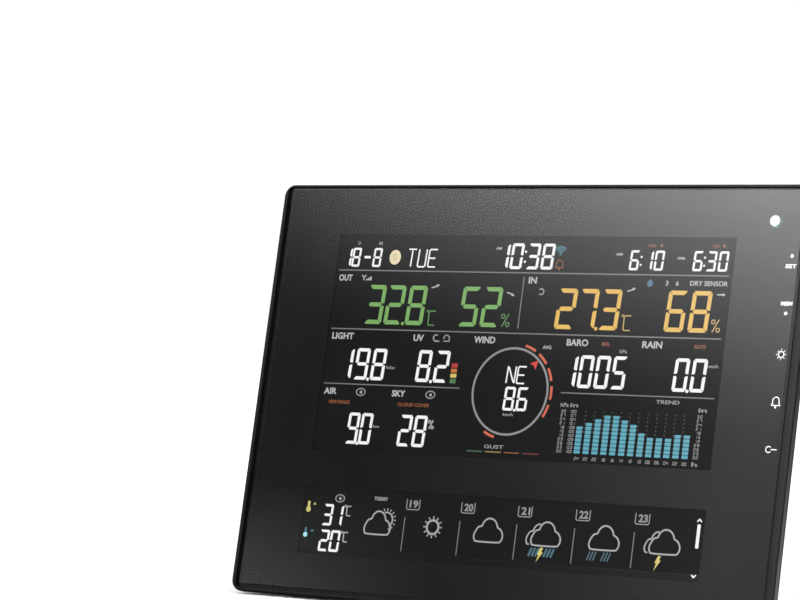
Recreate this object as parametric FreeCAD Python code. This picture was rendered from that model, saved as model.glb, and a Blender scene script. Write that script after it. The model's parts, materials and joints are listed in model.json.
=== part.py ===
import FreeCAD, Part
import math
import os

# Home weather station console: a colour LCD behind a wide black lens, in a shallow front
# casing and a tapered rear cover with a fold-out table stand.
#
# Every sub-part is drawn in the panel frame, in millimetres: X to the right as seen from the
# front, Y into the case from the lens's front face, Z up along the panel from the casing's
# bottom edge. place() then leans the panel back and stands it on the table at Z = 0.

V = FreeCAD.Vector

# ---- driving dimensions -------------------------------------------------------------------
LEAN = 13.3                 # degrees the panel leans back from upright

LENS_W, LENS_H, LENS_T = 196.0, 136.0, 2.0
LENS_R = 0.8                # corner radius of the lens
LENS_BEVEL = 0.45
LENS_PROUD = 0.9            # lens face in front of the casing's lip
LIP_ROUND, LIP_BEVEL = 0.6, 0.15
RIM_SIDE, RIM_TOP, RIM_BOTTOM = 3.5, 1.5, 2.2   # casing outside the lens
GROOVE_SIDE, GROOVE_TOP, GROOVE_BOTTOM = 1.8, 0.6, 1.1   # shadow gap round the lens

CASE_W = LENS_W + 2 * RIM_SIDE
CASE_H = LENS_H + RIM_TOP + RIM_BOTTOM
CASE_R = 4.0                # corner radius seen from the front
PARTING_Y = 3.0             # front casing meets rear cover
SIDE_END_Y = 3.6            # straight side wall ends, taper starts
CASE_D = 27.0
TAPER = 27.0                # degrees, rear cover's sides from straight back
BACK_R = 9.0                # corner radius of the flat back
WALL = 2.0
BACK_Y = CASE_D - WALL      # inner face of the back wall

FLOOR_Y, FLOOR_T = 2.4, 1.6  # front casing's floor behind the lens
TONGUE_Y = 5.4              # rim that locates the rear cover
TONGUE_T = 1.3
FLOOR_INSET, TONGUE_INSET = 2.6, 3.8   # from the casing's outline
FILM_T = 0.2
FILM_INSET, TAPE_INSET = 0.3, 0.8   # from the lens's outline

# windows in the mask film: x0, x1, z0, z1
MAIN_WINDOW = (-76.6, 74.4, 49.2, 122.8)
STRIP_WINDOW = (-77.0, 74.6, 14.4, 36.8)

LCD = (-79.0, 77.0, 12.2, 125.2)   # glass outline: x0, x1, z0, z1
LCD_Y, LCD_T = 2.6, 2.2
LCD_LEDGE = 3.4             # contact ledge of the rear glass, along the bottom

HOLDER_WALL = 1.2
HOLDER_BACK_Y = 9.8
BOARD_Y, BOARD_T = 11.5, 1.6
BOARD = (-70.0, 70.0, 20.0, 118.0)
BOARD_BACK = BOARD_Y + BOARD_T

SENSOR_SPOT = (87.5, 128.0)  # ambient light sensor
SENSOR_SPOT_R = 1.9         # clear spot in the mask in front of it
TOUCH = (87.6, 95.1, 50.4, 122.5)        # touch board: x0, x1, z0, z1
TOUCH_HEAD = (85.7, 95.1, 122.4, 132.2)  # its wide top: x0, x1, z0, z1
TOUCH_T = 1.2

CASE_SCREWS = [(x, z) for x in (-84.0, 84.0) for z in (20.0, 72.0, 116.0)]
CASE_SCREW_SEAT = 15.0      # depth of the step that the screw heads pull on
HOLDER_SCREWS = [(x, z) for x in (-52.0, 52.0) for z in (8.4, 129.6)]
BOARD_SCREWS = [(x, z) for x in (-64.0, 64.0) for z in (26.0, 112.0)]
BOSS_R, BOSS_END_Y = 2.8, 11.0   # casing's bosses for the case screws
POST_R = 2.2                # casing's posts for the holder screws
EAR_Y, EAR_T, EAR_R = 7.6, 1.6, 3.0   # holder's ears under the holder screws
EAR_SEAT = EAR_Y + EAR_T
CASE_PILOT_R, SMALL_PILOT_R = 1.25, 0.9

STAND_W, STAND_T = 58.0, 3.0
BARREL_R = 3.4
HINGE_Y, HINGE_Z = CASE_D - BARREL_R, 62.0
HINGE_PIN_R = 1.5
HINGE_GAP = 0.05            # running clearance of the moulded hinge pins
HEEL_RISE = 3.6             # stop heel above the hinge axis when the stand is open
STAND_GAP = 0.4
TOE_Y = 9.0                 # where the folded stand ends on the tapered underside
PAD_RISE = 0.5              # table below the casing's lowest edge

PORT = (4.6, 19.4, 51.5, 65.7)  # jack's opening in the right side: y0, y1, z0, z1
JACK = (5.7, 18.9, 52.9, 64.3)  # jack's housing, leaving a gap above and below it
JACK_X0 = 80.0              # inner end of the housing
JACK_RECESS = 0.5           # housing's face below the tapered side
JACK_Y, JACK_Z, JACK_BORE_R, JACK_POST_R = 12.2, 58.6, 2.8, 1.0
JACK_DEPTH = 9.5

DOOR_X, DOOR_Z = 52.0, 88.0  # centre of the battery door
DOOR_W, DOOR_H, DOOR_T = 27.0, 30.0, 1.8
DOOR_GAP = 0.2
CELL_R, CELL_T = 10.0, 3.2
CELL_Y = BACK_Y - 3.1       # front of the coin cell
TAB_X, TAB_W, TAB_T = 6.0, 4.0, 0.9   # battery door's hooks, behind the back wall

KEYS = {"reset_key": (-48.0, 92.0), "pairing_key": (-48.0, 78.0)}
KEY_R, KEY_TRAVEL, KEY_PROUD = 3.0, 0.8, 0.9
KEY_HOLE_R = 3.2
KEY_BASE_Y = BACK_Y - 1.5   # front of the key's cap and flange

KEYHOLE_X, KEYHOLE_Z = 30.0, 111.0   # round entry of each wall-mount keyhole
KEYHOLE_R, KEYHOLE_SLOT_R, KEYHOLE_RISE = 4.0, 2.0, 7.0

SENSOR_BOARD_Y, SENSOR_BOARD_T = BACK_Y - 3.7, 1.4   # indoor sensor, behind the air slots
SENSOR_BOARD = (-81.5, -53.1, 39.5, 48.5)   # x0, x1, z0, z1
SENSOR_POST_X, SENSOR_POST_Z = (-79.0, -55.6), 44.0
AIR_SLOTS_X = range(-76, -58, 3)   # left edge of each air slot
AIR_SLOT_W, AIR_SLOT_Z0, AIR_SLOT_Z1 = 1.6, 36.0, 52.0

BUZZER_X, BUZZER_Z, BUZZER_R, BUZZER_T = -24.0, 96.0, 6.0, 5.0
SOUND_HOLE_R, SOUND_RING_R = 0.8, 3.4

# light guide and sheets behind the glass
SHEET_T, SHEET_INSET = 0.15, 1.0   # polarisers
DIFFUSER_Y, DIFFUSER_T = 5.15, 0.3
GUIDE = (-77.5, 75.5, 17.0, 121.7)   # x0, x1, z0, z1
GUIDE_Y, GUIDE_T = 5.5, 2.9
REFLECTOR = (-77.8, 75.8, 16.4, 124.9)   # x0, x1, z0, z1
REFLECTOR_Y, REFLECTOR_T = 8.45, 0.3
LAMPS_X = range(-66, 68, 13)
LAMP_W = 3.8
CABLE_T = 0.3               # flat cables
LCD_CABLE_W = 90.0
LCD_CABLE_Z0, LCD_CABLE_Z1 = 12.9, 25.0
TOUCH_CABLE_X, TOUCH_CABLE_END = 88.4, 64.5
TOUCH_CABLE_Z0, TOUCH_CABLE_Z1 = 84.0, 92.0

# packages on the back of the main board: width, height, thickness, x, z
MAIN_CHIP = (14.0, 14.0, 1.4, 4.0, 92.0)
PRESSURE_LID = (5.0, 5.0, 1.6, -6.0, 72.0)
RIBBON_SOCKET = (5.0, 10.0, 2.4, 62.0, 88.0)
WIFI_CARRIER = (18.0, 25.0, 0.8, 38.0, 50.0)
RADIO_CARRIER = (16.0, 22.0, 1.0, -52.0, 52.0)
WIFI_CAN = (30.5, 45.5, 39.5, 56.0)    # x0, x1, z0, z1
RADIO_CAN = (-57.5, -46.5, 45.0, 57.0)  # x0, x1, z0, z1
WIRE_R = 0.5                # antenna wire
WIRE_X0, WIRE_X1 = -56.0, -22.0
WIRE_Z0, WIRE_Z1 = 61.5, 104.0
SWITCH_W, SWITCH_T, SWITCH_TIP = 6.0, 3.4, 4.3   # tact switches under the rear keys

PAD_X, PAD_W = 70.0, 18.0   # rubber feet under the casing
PAD_Y0, PAD_Y1 = 5.2, 12.6

# ---- derived ------------------------------------------------------------------------------
TAN_T = math.tan(math.radians(TAPER))
COS_T = math.cos(math.radians(TAPER))
SIN_L = math.sin(math.radians(LEAN))
COS_L = math.cos(math.radians(LEAN))
CASE_Z = CASE_H / 2
FLOOR_BACK = FLOOR_Y + FLOOR_T
DOOR_SEAT = CASE_D - DOOR_T   # depth of the ledge that the battery door lies on


def taper_z(y):
    """Height of the tapered underside at depth y."""
    return (y - SIDE_END_Y) * TAN_T


def height(y, z):
    """Height of a panel-frame point above the casing's bottom front edge, once leaned."""
    return z * COS_L - y * SIN_L


TABLE_H = height(SIDE_END_Y, 0) - PAD_RISE

# The toe is the rounded end of the stand, on the mid-line of its lower leg.
TOE_R = STAND_T / 2
TOE = (TOE_Y - TOE_R * math.sin(math.radians(TAPER)), taper_z(TOE_Y) + TOE_R * COS_T)
TOE_REACH = math.hypot(HINGE_Y - TOE[0], HINGE_Z - TOE[1])
TOE_DROP = height(HINGE_Y, HINGE_Z) - TABLE_H - TOE_R
FOLDED_SWING = math.degrees(math.atan2(HINGE_Y - TOE[0], HINGE_Z - TOE[1])) + LEAN
OPEN_SWING = math.degrees(math.acos(TOE_DROP / TOE_REACH))
STAND_OPEN = FOLDED_SWING + OPEN_SWING   # from folded flush to standing on the table


# ---- shape helpers ------------------------------------------------------------------------
def box(x0, x1, y0, y1, z0, z1):
    return Part.makeBox(x1 - x0, y1 - y0, z1 - z0, V(x0, y0, z0))


def rod(radius, start, end):
    """A round bar between two points."""
    start = V(*start)
    along = V(*end) - start
    return Part.makeCylinder(radius, along.Length, start, along)


def pin(radius, x, z, y0, y1):
    """A round bar along the panel's depth."""
    return rod(radius, (x, y0, z), (x, y1, z))


def outline(x0, x1, z0, z1, r, y):
    """A closed rectangle with rounded corners, parallel to the panel at depth y."""
    k = r * (1 - math.sqrt(0.5))
    sides = [
        ((x0 + r, z0), (x1 - r, z0)),
        ((x1, z0 + r), (x1, z1 - r)),
        ((x1 - r, z1), (x0 + r, z1)),
        ((x0, z1 - r), (x0, z0 + r)),
    ]
    middles = [(x1 - k, z0 + k), (x1 - k, z1 - k), (x0 + k, z1 - k), (x0 + k, z0 + k)]
    edges = []
    for i, (a, b) in enumerate(sides):
        following = sides[(i + 1) % 4][0]
        edges.append(Part.makeLine(V(a[0], y, a[1]), V(b[0], y, b[1])))
        arc = Part.Arc(
            V(b[0], y, b[1]),
            V(middles[i][0], y, middles[i][1]),
            V(following[0], y, following[1]),
        )
        edges.append(arc.toShape())
    return Part.Wire(edges)


def slab(x0, x1, z0, z1, r, y0, y1):
    """A plate with rounded corners between depths y0 and y1."""
    return Part.Face(outline(x0, x1, z0, z1, r, y0)).extrude(V(0, y1 - y0, 0))


def profile(points, x0, x1):
    """A straight-sided outline of (y, z) points, drawn out along X."""
    ring = [V(x0, y, z) for y, z in points]
    return Part.Face(Part.makePolygon(ring + ring[:1])).extrude(V(x1 - x0, 0, 0))


def union(shapes):
    whole = shapes[0].fuse(shapes[1:]) if len(shapes) > 1 else shapes[0]
    return whole.removeSplitter()


def cut(shape, *tools):
    for tool in tools:
        shape = shape.cut(tool)
    return shape.removeSplitter()


def edges_at(shape, axis, value, tolerance=0.01):
    """The edges that lie wholly in one plane."""
    low, high = axis + "Min", axis + "Max"
    return [
        e for e in shape.Edges
        if abs(getattr(e.BoundBox, low) - value) < tolerance
        and abs(getattr(e.BoundBox, high) - value) < tolerance
    ]


def inset_case(inset, r, y):
    """The casing's front outline, moved in by inset, at depth y."""
    half = CASE_W / 2 - inset
    return outline(-half, half, inset, CASE_H - inset, r, y)


# ---- lens and its films -------------------------------------------------------------------
def make_front_lens():
    x = LENS_W / 2
    lens = slab(-x, x, RIM_BOTTOM, RIM_BOTTOM + LENS_H, LENS_R, 0, LENS_T)
    return lens.makeChamfer(LENS_BEVEL, edges_at(lens, "Y", 0))


def window(bounds, y0, y1):
    return box(bounds[0], bounds[1], y0, y1, bounds[2], bounds[3])


def make_mask_film():
    x = LENS_W / 2 - FILM_INSET
    z0, z1 = RIM_BOTTOM + FILM_INSET, RIM_BOTTOM + LENS_H - FILM_INSET
    film = slab(-x, x, z0, z1, LENS_R, LENS_T, LENS_T + FILM_T)
    y0, y1 = LENS_T - 1, LENS_T + FILM_T + 1
    spot = pin(SENSOR_SPOT_R, SENSOR_SPOT[0], SENSOR_SPOT[1], y0, y1)
    return cut(film, window(MAIN_WINDOW, y0, y1), window(STRIP_WINDOW, y0, y1), spot)


def make_lens_tape():
    """The adhesive frame that bonds the lens to the front casing's floor."""
    y0, y1 = LENS_T + FILM_T, FLOOR_Y
    x = LENS_W / 2 - TAPE_INSET
    tape = box(-x, x, y0, y1, RIM_BOTTOM + TAPE_INSET, RIM_BOTTOM + LENS_H - TAPE_INSET)
    lcd_hole = box(LCD[0] - 0.6, LCD[1] + 0.6, y0 - 1, y1 + 1, LCD[2] - 0.8, LCD[3] + 0.8)
    touch_hole = box(85.0, x - 0.9, y0 - 1, y1 + 1, 46.0, 134.0)
    return cut(tape, lcd_hole, touch_hole)


# ---- casing -------------------------------------------------------------------------------
def make_front_casing():
    half = CASE_W / 2
    lip = slab(-half, half, 0, CASE_H, CASE_R, LENS_PROUD, PARTING_Y)
    lip = lip.makeFillet(LIP_ROUND, edges_at(lip, "Y", LENS_PROUD))
    mouth = (
        -LENS_W / 2 - GROOVE_SIDE, LENS_W / 2 + GROOVE_SIDE,
        RIM_BOTTOM - GROOVE_BOTTOM, RIM_BOTTOM + LENS_H + GROOVE_TOP,
    )
    lip = lip.cut(slab(*mouth, LENS_R + 0.5, LENS_PROUD - 1, FLOOR_Y))
    c = LIP_BEVEL
    wide = (mouth[0] - 2 * c, mouth[1] + 2 * c, mouth[2] - 2 * c, mouth[3] + 2 * c)
    flare = Part.makeLoft(
        [outline(*wide, LENS_R + 0.5 + 2 * c, LENS_PROUD - c),
         outline(*mouth, LENS_R + 0.5, LENS_PROUD + c)],
        True, True,
    )
    lip = lip.cut(flare)
    f, t = FLOOR_INSET, TONGUE_INSET
    inside = TONGUE_INSET + TONGUE_T
    floor = slab(-half + f, half - f, f, CASE_H - f, 3.0, FLOOR_Y, FLOOR_BACK)
    tongue = slab(-half + t, half - t, t, CASE_H - t, 2.0, FLOOR_BACK - 0.1, TONGUE_Y)
    tongue = tongue.cut(
        slab(-half + inside, half - inside, inside, CASE_H - inside, 1.5, 3.0, TONGUE_Y + 1.6)
    )
    stand_notch = STAND_W / 2 + 3.5
    tongue = tongue.cut(box(-stand_notch, stand_notch, FLOOR_BACK, 7.0, 3.0, 8.0))
    bosses = [pin(BOSS_R, x, z, FLOOR_BACK - 0.1, BOSS_END_Y) for x, z in CASE_SCREWS]
    posts = [pin(POST_R, x, z, FLOOR_BACK - 0.1, EAR_Y - 0.05) for x, z in HOLDER_SCREWS]
    casing = union([lip, floor, tongue] + bosses + posts)
    lcd_hole = box(LCD[0] - 0.4, LCD[1] + 0.4, 1, 8, LCD[2] - 0.6, LCD[3] + 0.6)
    touch_hole = box(TOUCH[0] - 0.3, TOUCH[1] + 0.3, 2, 5, TOUCH[2] - 0.4, TOUCH_HEAD[2])
    sensor_hole = box(
        TOUCH_HEAD[0] - 0.3, TOUCH_HEAD[1] + 0.3, 2, 5, TOUCH_HEAD[2] - 0.1, TOUCH_HEAD[3] + 0.4
    )
    pilots = [pin(CASE_PILOT_R, x, z, 5.6, 12) for x, z in CASE_SCREWS]
    pilots += [pin(SMALL_PILOT_R, x, z, 4.6, 9) for x, z in HOLDER_SCREWS]
    return cut(casing, lcd_hole, touch_hole, sensor_hole, *pilots)


def case_body(inset, y0, y1, r_front, r_back):
    """The rear cover's outline as a solid: a straight band, then the taper."""
    front = inset_case(inset, r_front, SIDE_END_Y)
    back = inset_case(inset + (y1 - SIDE_END_Y) * TAN_T, r_back, y1)
    taper = Part.makeLoft([front, back], True, True)
    band = Part.Face(inset_case(inset, r_front, y0)).extrude(V(0, SIDE_END_Y - y0, 0))
    return band.fuse(taper).removeSplitter()


def stand_profile(grow):
    """(y, z) outline of the folded stand's plate: flat leg, bend, lower leg on the taper."""
    y_in = CASE_D - STAND_T - grow
    lift = (STAND_T + grow) / COS_T
    return [
        (CASE_D + 2, HINGE_Z),
        (CASE_D + 2, -6.0),
        (TOE_Y - TOE_R * 2 - grow, -6.0),
        (TOE_Y - TOE_R * 2 - grow, taper_z(TOE_Y - TOE_R * 2 - grow) + lift),
        (y_in, taper_z(y_in) + lift),
        (y_in, HINGE_Z),
    ]


def stand_well(grow, side):
    """The hollow for the folded stand: its plate, and a square head round the hinge."""
    half = STAND_W / 2 + side
    top = HINGE_Z + BARREL_R + grow
    head_y = HINGE_Y - BARREL_R - grow
    head = box(-half, half, head_y, CASE_D + 2, HINGE_Z - BARREL_R - grow, top)
    return profile(stand_profile(grow), -half, half).fuse(head)


def side_x(y):
    """Half-width of the tapered rear cover at depth y."""
    return CASE_W / 2 - taper_z(y)


def port_opening():
    """The jack's window in the right side, through the wall."""
    y0, y1, z0, z1 = PORT
    return box(JACK_X0 + 8, CASE_W, y0, y1, z0, z1)


def door_recess(grow, depth):
    w, h = DOOR_W / 2 + grow, DOOR_H / 2 + grow
    return box(DOOR_X - w, DOOR_X + w, depth, CASE_D + 2, DOOR_Z - h, DOOR_Z + h)


def keyhole(sign):
    x = sign * KEYHOLE_X
    entry = pin(KEYHOLE_R, x, KEYHOLE_Z, BACK_Y - 1, CASE_D + 1)
    top = pin(KEYHOLE_SLOT_R, x, KEYHOLE_Z + KEYHOLE_RISE, BACK_Y - 1, CASE_D + 1)
    slot = box(
        x - KEYHOLE_SLOT_R, x + KEYHOLE_SLOT_R, BACK_Y - 1, CASE_D + 1,
        KEYHOLE_Z, KEYHOLE_Z + KEYHOLE_RISE,
    )
    return entry.fuse([slot, top])


def vent_slots():
    """Air slots over the indoor sensor, and sound holes over the buzzer."""
    y0, y1 = BACK_Y - 1, CASE_D + 1
    slots = [box(x, x + AIR_SLOT_W, y0, y1, AIR_SLOT_Z0, AIR_SLOT_Z1) for x in AIR_SLOTS_X]
    holes = [pin(SOUND_HOLE_R, BUZZER_X, BUZZER_Z, y0, y1)]
    for i in range(6):
        angle = i * math.pi / 3
        x = BUZZER_X + SOUND_RING_R * math.cos(angle)
        z = BUZZER_Z + SOUND_RING_R * math.sin(angle)
        holes.append(pin(SOUND_HOLE_R, x, z, y0, y1))
    return slots + holes


def pad_pocket(sign, depth):
    """A shallow seat for a rubber foot in the tapered underside."""
    x0 = sign * PAD_X - PAD_W / 2
    points = [
        (PAD_Y0, taper_z(PAD_Y0) - 5), (PAD_Y1, taper_z(PAD_Y1) - 5),
        (PAD_Y1, taper_z(PAD_Y1) + depth), (PAD_Y0, taper_z(PAD_Y0) + depth),
    ]
    return profile(points, x0, x0 + PAD_W)


def make_rear_cover():
    outer = case_body(0, PARTING_Y, CASE_D, CASE_R, BACK_R)
    outer = outer.makeFillet(3.5, edges_at(outer, "Y", CASE_D))
    inner = case_body(WALL / COS_T, PARTING_Y - 1, BACK_Y, 2.5, 7.0)
    shell = outer.cut(inner)
    backing = [
        stand_well(STAND_GAP + 1.6, STAND_GAP + 1.8),
        door_recess(1.8, DOOR_SEAT - 1.4),
        pin(CELL_R + 2.4, DOOR_X, DOOR_Z, CELL_Y - 1.9, CASE_D),
    ]
    backing += [pin(3.5, x, z, 11.05, CASE_D) for x, z in CASE_SCREWS]
    backing += [pin(5.2, x, z, BACK_Y - 3.0, CASE_D) for x, z in KEYS.values()]
    sensor_back = SENSOR_BOARD_Y + SENSOR_BOARD_T
    backing += [pin(1.8, x, SENSOR_POST_Z, sensor_back, CASE_D) for x in SENSOR_POST_X]
    backing = [b.common(outer) for b in backing]
    cover = union([shell] + backing)
    reach = STAND_W / 2 + 2.4
    pin_holes = rod(
        HINGE_PIN_R + HINGE_GAP, (-reach, HINGE_Y, HINGE_Z), (reach, HINGE_Y, HINGE_Z)
    )
    x, z = DOOR_X, DOOR_Z
    hooks_z = z - DOOR_H / 2
    tools = [
        stand_well(STAND_GAP, STAND_GAP),
        pin_holes,
        port_opening(),
        door_recess(DOOR_GAP, DOOR_SEAT),
        pin(CELL_R + 0.6, x, z, CELL_Y - 0.5, CASE_D),
        box(x - 9.5, x + 9.5, BACK_Y - 1.6, BACK_Y, hooks_z - 3, hooks_z + 4),
        box(x - 9.5, x + 9.5, BACK_Y - 1.6, DOOR_SEAT, hooks_z, hooks_z + 4),
        box(x - 5, x + 5, DOOR_SEAT, CASE_D + 1, z + DOOR_H / 2, z + DOOR_H / 2 + 2.4),
        box(x - 6, x + 6, CELL_Y - 0.5, DOOR_SEAT + 1, z + CELL_R - 1, z + CELL_R + 1.5),
        keyhole(-1), keyhole(1),
        pad_pocket(-1, 0.6), pad_pocket(1, 0.6),
    ]
    tools += vent_slots()
    for sx, sz in CASE_SCREWS:
        tools.append(pin(1.5, sx, sz, 10, CASE_D + 1))
        tools.append(pin(2.8, sx, sz, CASE_SCREW_SEAT, CASE_D + 1))
    for kx, kz in KEYS.values():
        tools.append(pin(KEY_HOLE_R, kx, kz, BACK_Y - 4, CASE_D + 1))
        tools.append(pin(4.1, kx, kz, BACK_Y - 4, BACK_Y))
    return cut(cover, *tools)


# ---- fold-out stand, drawn folded, then opened ---------------------------------------------
def make_table_stand():
    half = STAND_W / 2
    y_in = CASE_D - STAND_T
    lift = STAND_T / COS_T
    corner_in = (y_in, taper_z(y_in) + lift)
    toe_out = (TOE_Y, taper_z(TOE_Y))
    toe_in = (2 * TOE[0] - TOE_Y, 2 * TOE[1] - taper_z(TOE_Y))
    plate = profile(
        [(CASE_D, HINGE_Z), (CASE_D, taper_z(CASE_D)), toe_out, toe_in, corner_in,
         (y_in, HINGE_Z)],
        -half, half,
    )
    toe = rod(TOE_R, (-half, *TOE), (half, *TOE))
    barrel = rod(BARREL_R, (-half, HINGE_Y, HINGE_Z), (half, HINGE_Y, HINGE_Z))
    pins = rod(
        HINGE_PIN_R, (-half - 1.9, HINGE_Y, HINGE_Z), (half + 1.9, HINGE_Y, HINGE_Z)
    )
    stand = union([plate, toe, barrel, pins])
    hollow = box(-half + 4, -1.5, y_in - 1, y_in + 1.2, 18, HINGE_Z - 8)
    grip = rod(9.0, (0, CASE_D + 7.6, 19.0), (0, CASE_D + 7.6, 27.0))
    stand = cut(stand, hollow, hollow.mirror(V(0, 0, 0), V(1, 0, 0)), grip)
    opened = turn_stand(stand, STAND_OPEN)
    heel = box(-half + 6, half - 6, HINGE_Y, HINGE_Y + 1.0, HINGE_Z, HINGE_Z + HEEL_RISE)
    return union([opened, heel])


def turn_stand(shape, degrees):
    turned = shape.copy()
    turned.rotate(V(0, HINGE_Y, HINGE_Z), V(1, 0, 0), degrees)
    return turned


# ---- battery bay --------------------------------------------------------------------------
def make_battery_door():
    w, h = DOOR_W / 2, DOOR_H / 2
    x, z = DOOR_X, DOOR_Z
    plate = slab(x - w, x + w, z - h, z + h, 0.8, DOOR_SEAT, CASE_D)
    nose = box(x - 4, x + 4, DOOR_SEAT, CASE_D - 0.6, z + h - 0.1, z + h + 0.15)
    tab_y = BACK_Y - 0.1
    tabs = []
    roots = []
    for sign in (-1, 1):
        x0 = x + sign * TAB_X - TAB_W / 2
        x1 = x0 + TAB_W
        tabs.append(box(x0, x1, tab_y - TAB_T, tab_y, z - h - 1.4, z - h + 3.0))
        roots.append(box(x0, x1, tab_y - 0.1, DOOR_SEAT + 0.1, z - h + 0.3, z - h + 3.0))
    grooves = [
        box(x - 7, x + 7, CASE_D - 0.4, CASE_D + 1, z + h - 4.0 - 2 * i, z + h - 3.2 - 2 * i)
        for i in range(4)
    ]
    return cut(union([plate, nose] + tabs + roots), *grooves)


def make_coin_cell():
    can = pin(CELL_R, DOOR_X, DOOR_Z, CELL_Y + 0.6, CELL_Y + CELL_T)
    can = can.makeFillet(0.5, edges_at(can, "Y", CELL_Y + CELL_T))
    cap = pin(CELL_R - 1.2, DOOR_X, DOOR_Z, CELL_Y, CELL_Y + 0.7)
    return union([can, cap])


def make_minus_contact():
    """Leaf spring on the floor of the cell bay, bowed up to the cell's cap."""
    x, z, y = DOOR_X, DOOR_Z, CELL_Y - 0.5
    strip = box(x - 2.5, x + 2.5, y, y + 0.25, z - 8, z + 8)
    bump = pin(1.6, x, z, y + 0.2, CELL_Y)
    return union([strip, bump])


def make_plus_contact():
    """Spring clip beside the cell, in its slot in the bay wall."""
    x, z = DOOR_X, DOOR_Z + CELL_R
    leaf = box(x - 4, x + 4, CELL_Y - 0.4, CELL_Y + 3.0, z + 0.9, z + 1.2)
    foot = box(x - 4, x + 4, CELL_Y - 0.4, CELL_Y - 0.15, z - 0.2, z + 1.0)
    return union([leaf, foot])


# ---- rear push keys -----------------------------------------------------------------------
def make_key(name):
    x, z = KEYS[name]
    tip = BOARD_BACK + SWITCH_TIP + KEY_TRAVEL + 0.05
    cap = pin(KEY_R, x, z, KEY_BASE_Y, CASE_D + KEY_PROUD)
    cap = cap.makeFillet(0.4, edges_at(cap, "Y", CASE_D + KEY_PROUD))
    flange = pin(3.9, x, z, KEY_BASE_Y, BACK_Y - 0.1)
    stem = pin(1.4, x, z, tip, KEY_BASE_Y + 0.1)
    return union([cap, flange, stem])


def make_tact_switches():
    """A square push switch under each rear key, on the main board."""
    switches = []
    for x, z in KEYS.values():
        body = on_board(SWITCH_W, SWITCH_W, SWITCH_T, x, z)
        plunger = pin(1.7, x, z, BOARD_BACK + SWITCH_T - 0.1, BOARD_BACK + SWITCH_TIP)
        switches.append(union([body, plunger]))
    return Part.makeCompound(switches)


# ---- display stack ------------------------------------------------------------------------
def lcd_sheet(y0, thickness, margin, ledge=0.0):
    x0, x1, z0, z1 = LCD
    return box(x0 + margin, x1 - margin, y0, y0 + thickness, z0 + margin + ledge, z1 - margin)


def make_lcd_cell():
    """Two glass plates; the rear one runs on below the front one as the contact ledge."""
    half = LCD_T / 2
    front = lcd_sheet(LCD_Y, half, 0, LCD_LEDGE)
    rear = lcd_sheet(LCD_Y + half, half, 0)
    return union([front, rear])


def make_led_strip():
    """Circuit strip with side-shining lamps along the light guide's top edge."""
    strip = box(-74, 72, 5.7, 8.4, 123.6, 124.8)
    w = LAMP_W / 2
    lamps = [box(x - w, x + w, 6.0, 8.0, GUIDE[3] + 0.2, 123.7) for x in LAMPS_X]
    return union([strip] + lamps)


def make_lcd_holder():
    """White tray round the light guide, with ears for its screws and posts for the board."""
    x0, x1, z0, z1 = LCD
    g, w = 0.2, HOLDER_WALL
    tray = box(x0 - g - w, x1 + g + w, FLOOR_BACK + 0.05, HOLDER_BACK_Y, z0 - g - w, z1 + g + w)
    tray = tray.cut(box(x0 - g, x1 + g, 1, HOLDER_BACK_Y - 1.0, z0 - g, z1 + g))
    ears = []
    for x, z in HOLDER_SCREWS:
        inward = 4.0 if z < CASE_Z else -4.0
        low, high = min(z, z + inward), max(z, z + inward)
        arm = box(x - EAR_R, x + EAR_R, EAR_Y, EAR_SEAT, low, high)
        ears.append(arm.fuse(pin(EAR_R, x, z, EAR_Y, EAR_SEAT)))
    posts = [pin(2.6, x, z, HOLDER_BACK_Y - 0.1, BOARD_Y) for x, z in BOARD_SCREWS]
    holder = union([tray] + ears + posts)
    holes = [pin(1.2, x, z, 7, 12) for x, z in HOLDER_SCREWS]
    holes += [pin(SMALL_PILOT_R, x, z, 9.2, 12) for x, z in BOARD_SCREWS]
    half = LCD_CABLE_W / 2 + 1
    ribbon_slot = box(-half, half, 8, 11, LCD_CABLE_Z0 - 0.5, LCD_CABLE_Z0 + 1.5)
    return cut(holder, ribbon_slot, *holes)


def make_lcd_ribbon():
    """Flat cable from the glass ledge, past the board's lower edge, to the board's back."""
    t, z, half = CABLE_T, LCD_CABLE_Z0, LCD_CABLE_W / 2
    y0, y1 = LCD_Y + LCD_T, BOARD_BACK
    run = box(-half, half, y0, y1 + t, z, z + t)
    rise = box(-half, half, y1, y1 + t, z, LCD_CABLE_Z1)
    ribbon = union([run, rise])
    bend = [
        e for e in ribbon.Edges
        if e.Length > half and e.BoundBox.ZMax < z + 0.05 and e.BoundBox.YMin > y1
    ]
    return ribbon.makeFillet(t * 0.9, bend)


# ---- electronics --------------------------------------------------------------------------
def make_main_board():
    x0, x1, z0, z1 = BOARD
    board = slab(x0, x1, z0, z1, 2.0, BOARD_Y, BOARD_BACK)
    holes = [pin(1.2, x, z, BOARD_Y - 1, BOARD_BACK + 1) for x, z in BOARD_SCREWS]
    return cut(board, *holes)


def on_board(w, h, t, x, z):
    """A flat package lying on the back of the main board."""
    return box(x - w / 2, x + w / 2, BOARD_BACK, BOARD_BACK + t, z - h / 2, z + h / 2)


def make_main_chip():
    return on_board(*MAIN_CHIP)


def make_wifi_module():
    carrier = on_board(*WIFI_CARRIER)
    x0, x1, z0, z1 = WIFI_CAN
    can = box(x0, x1, BOARD_BACK + 0.7, BOARD_BACK + 3.2, z0, z1)
    return union([carrier, can])


def make_radio_module():
    carrier = on_board(*RADIO_CARRIER)
    x0, x1, z0, z1 = RADIO_CAN
    can = box(x0, x1, BOARD_BACK + 0.9, BOARD_BACK + 2.6, z0, z1)
    return union([carrier, can])


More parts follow.
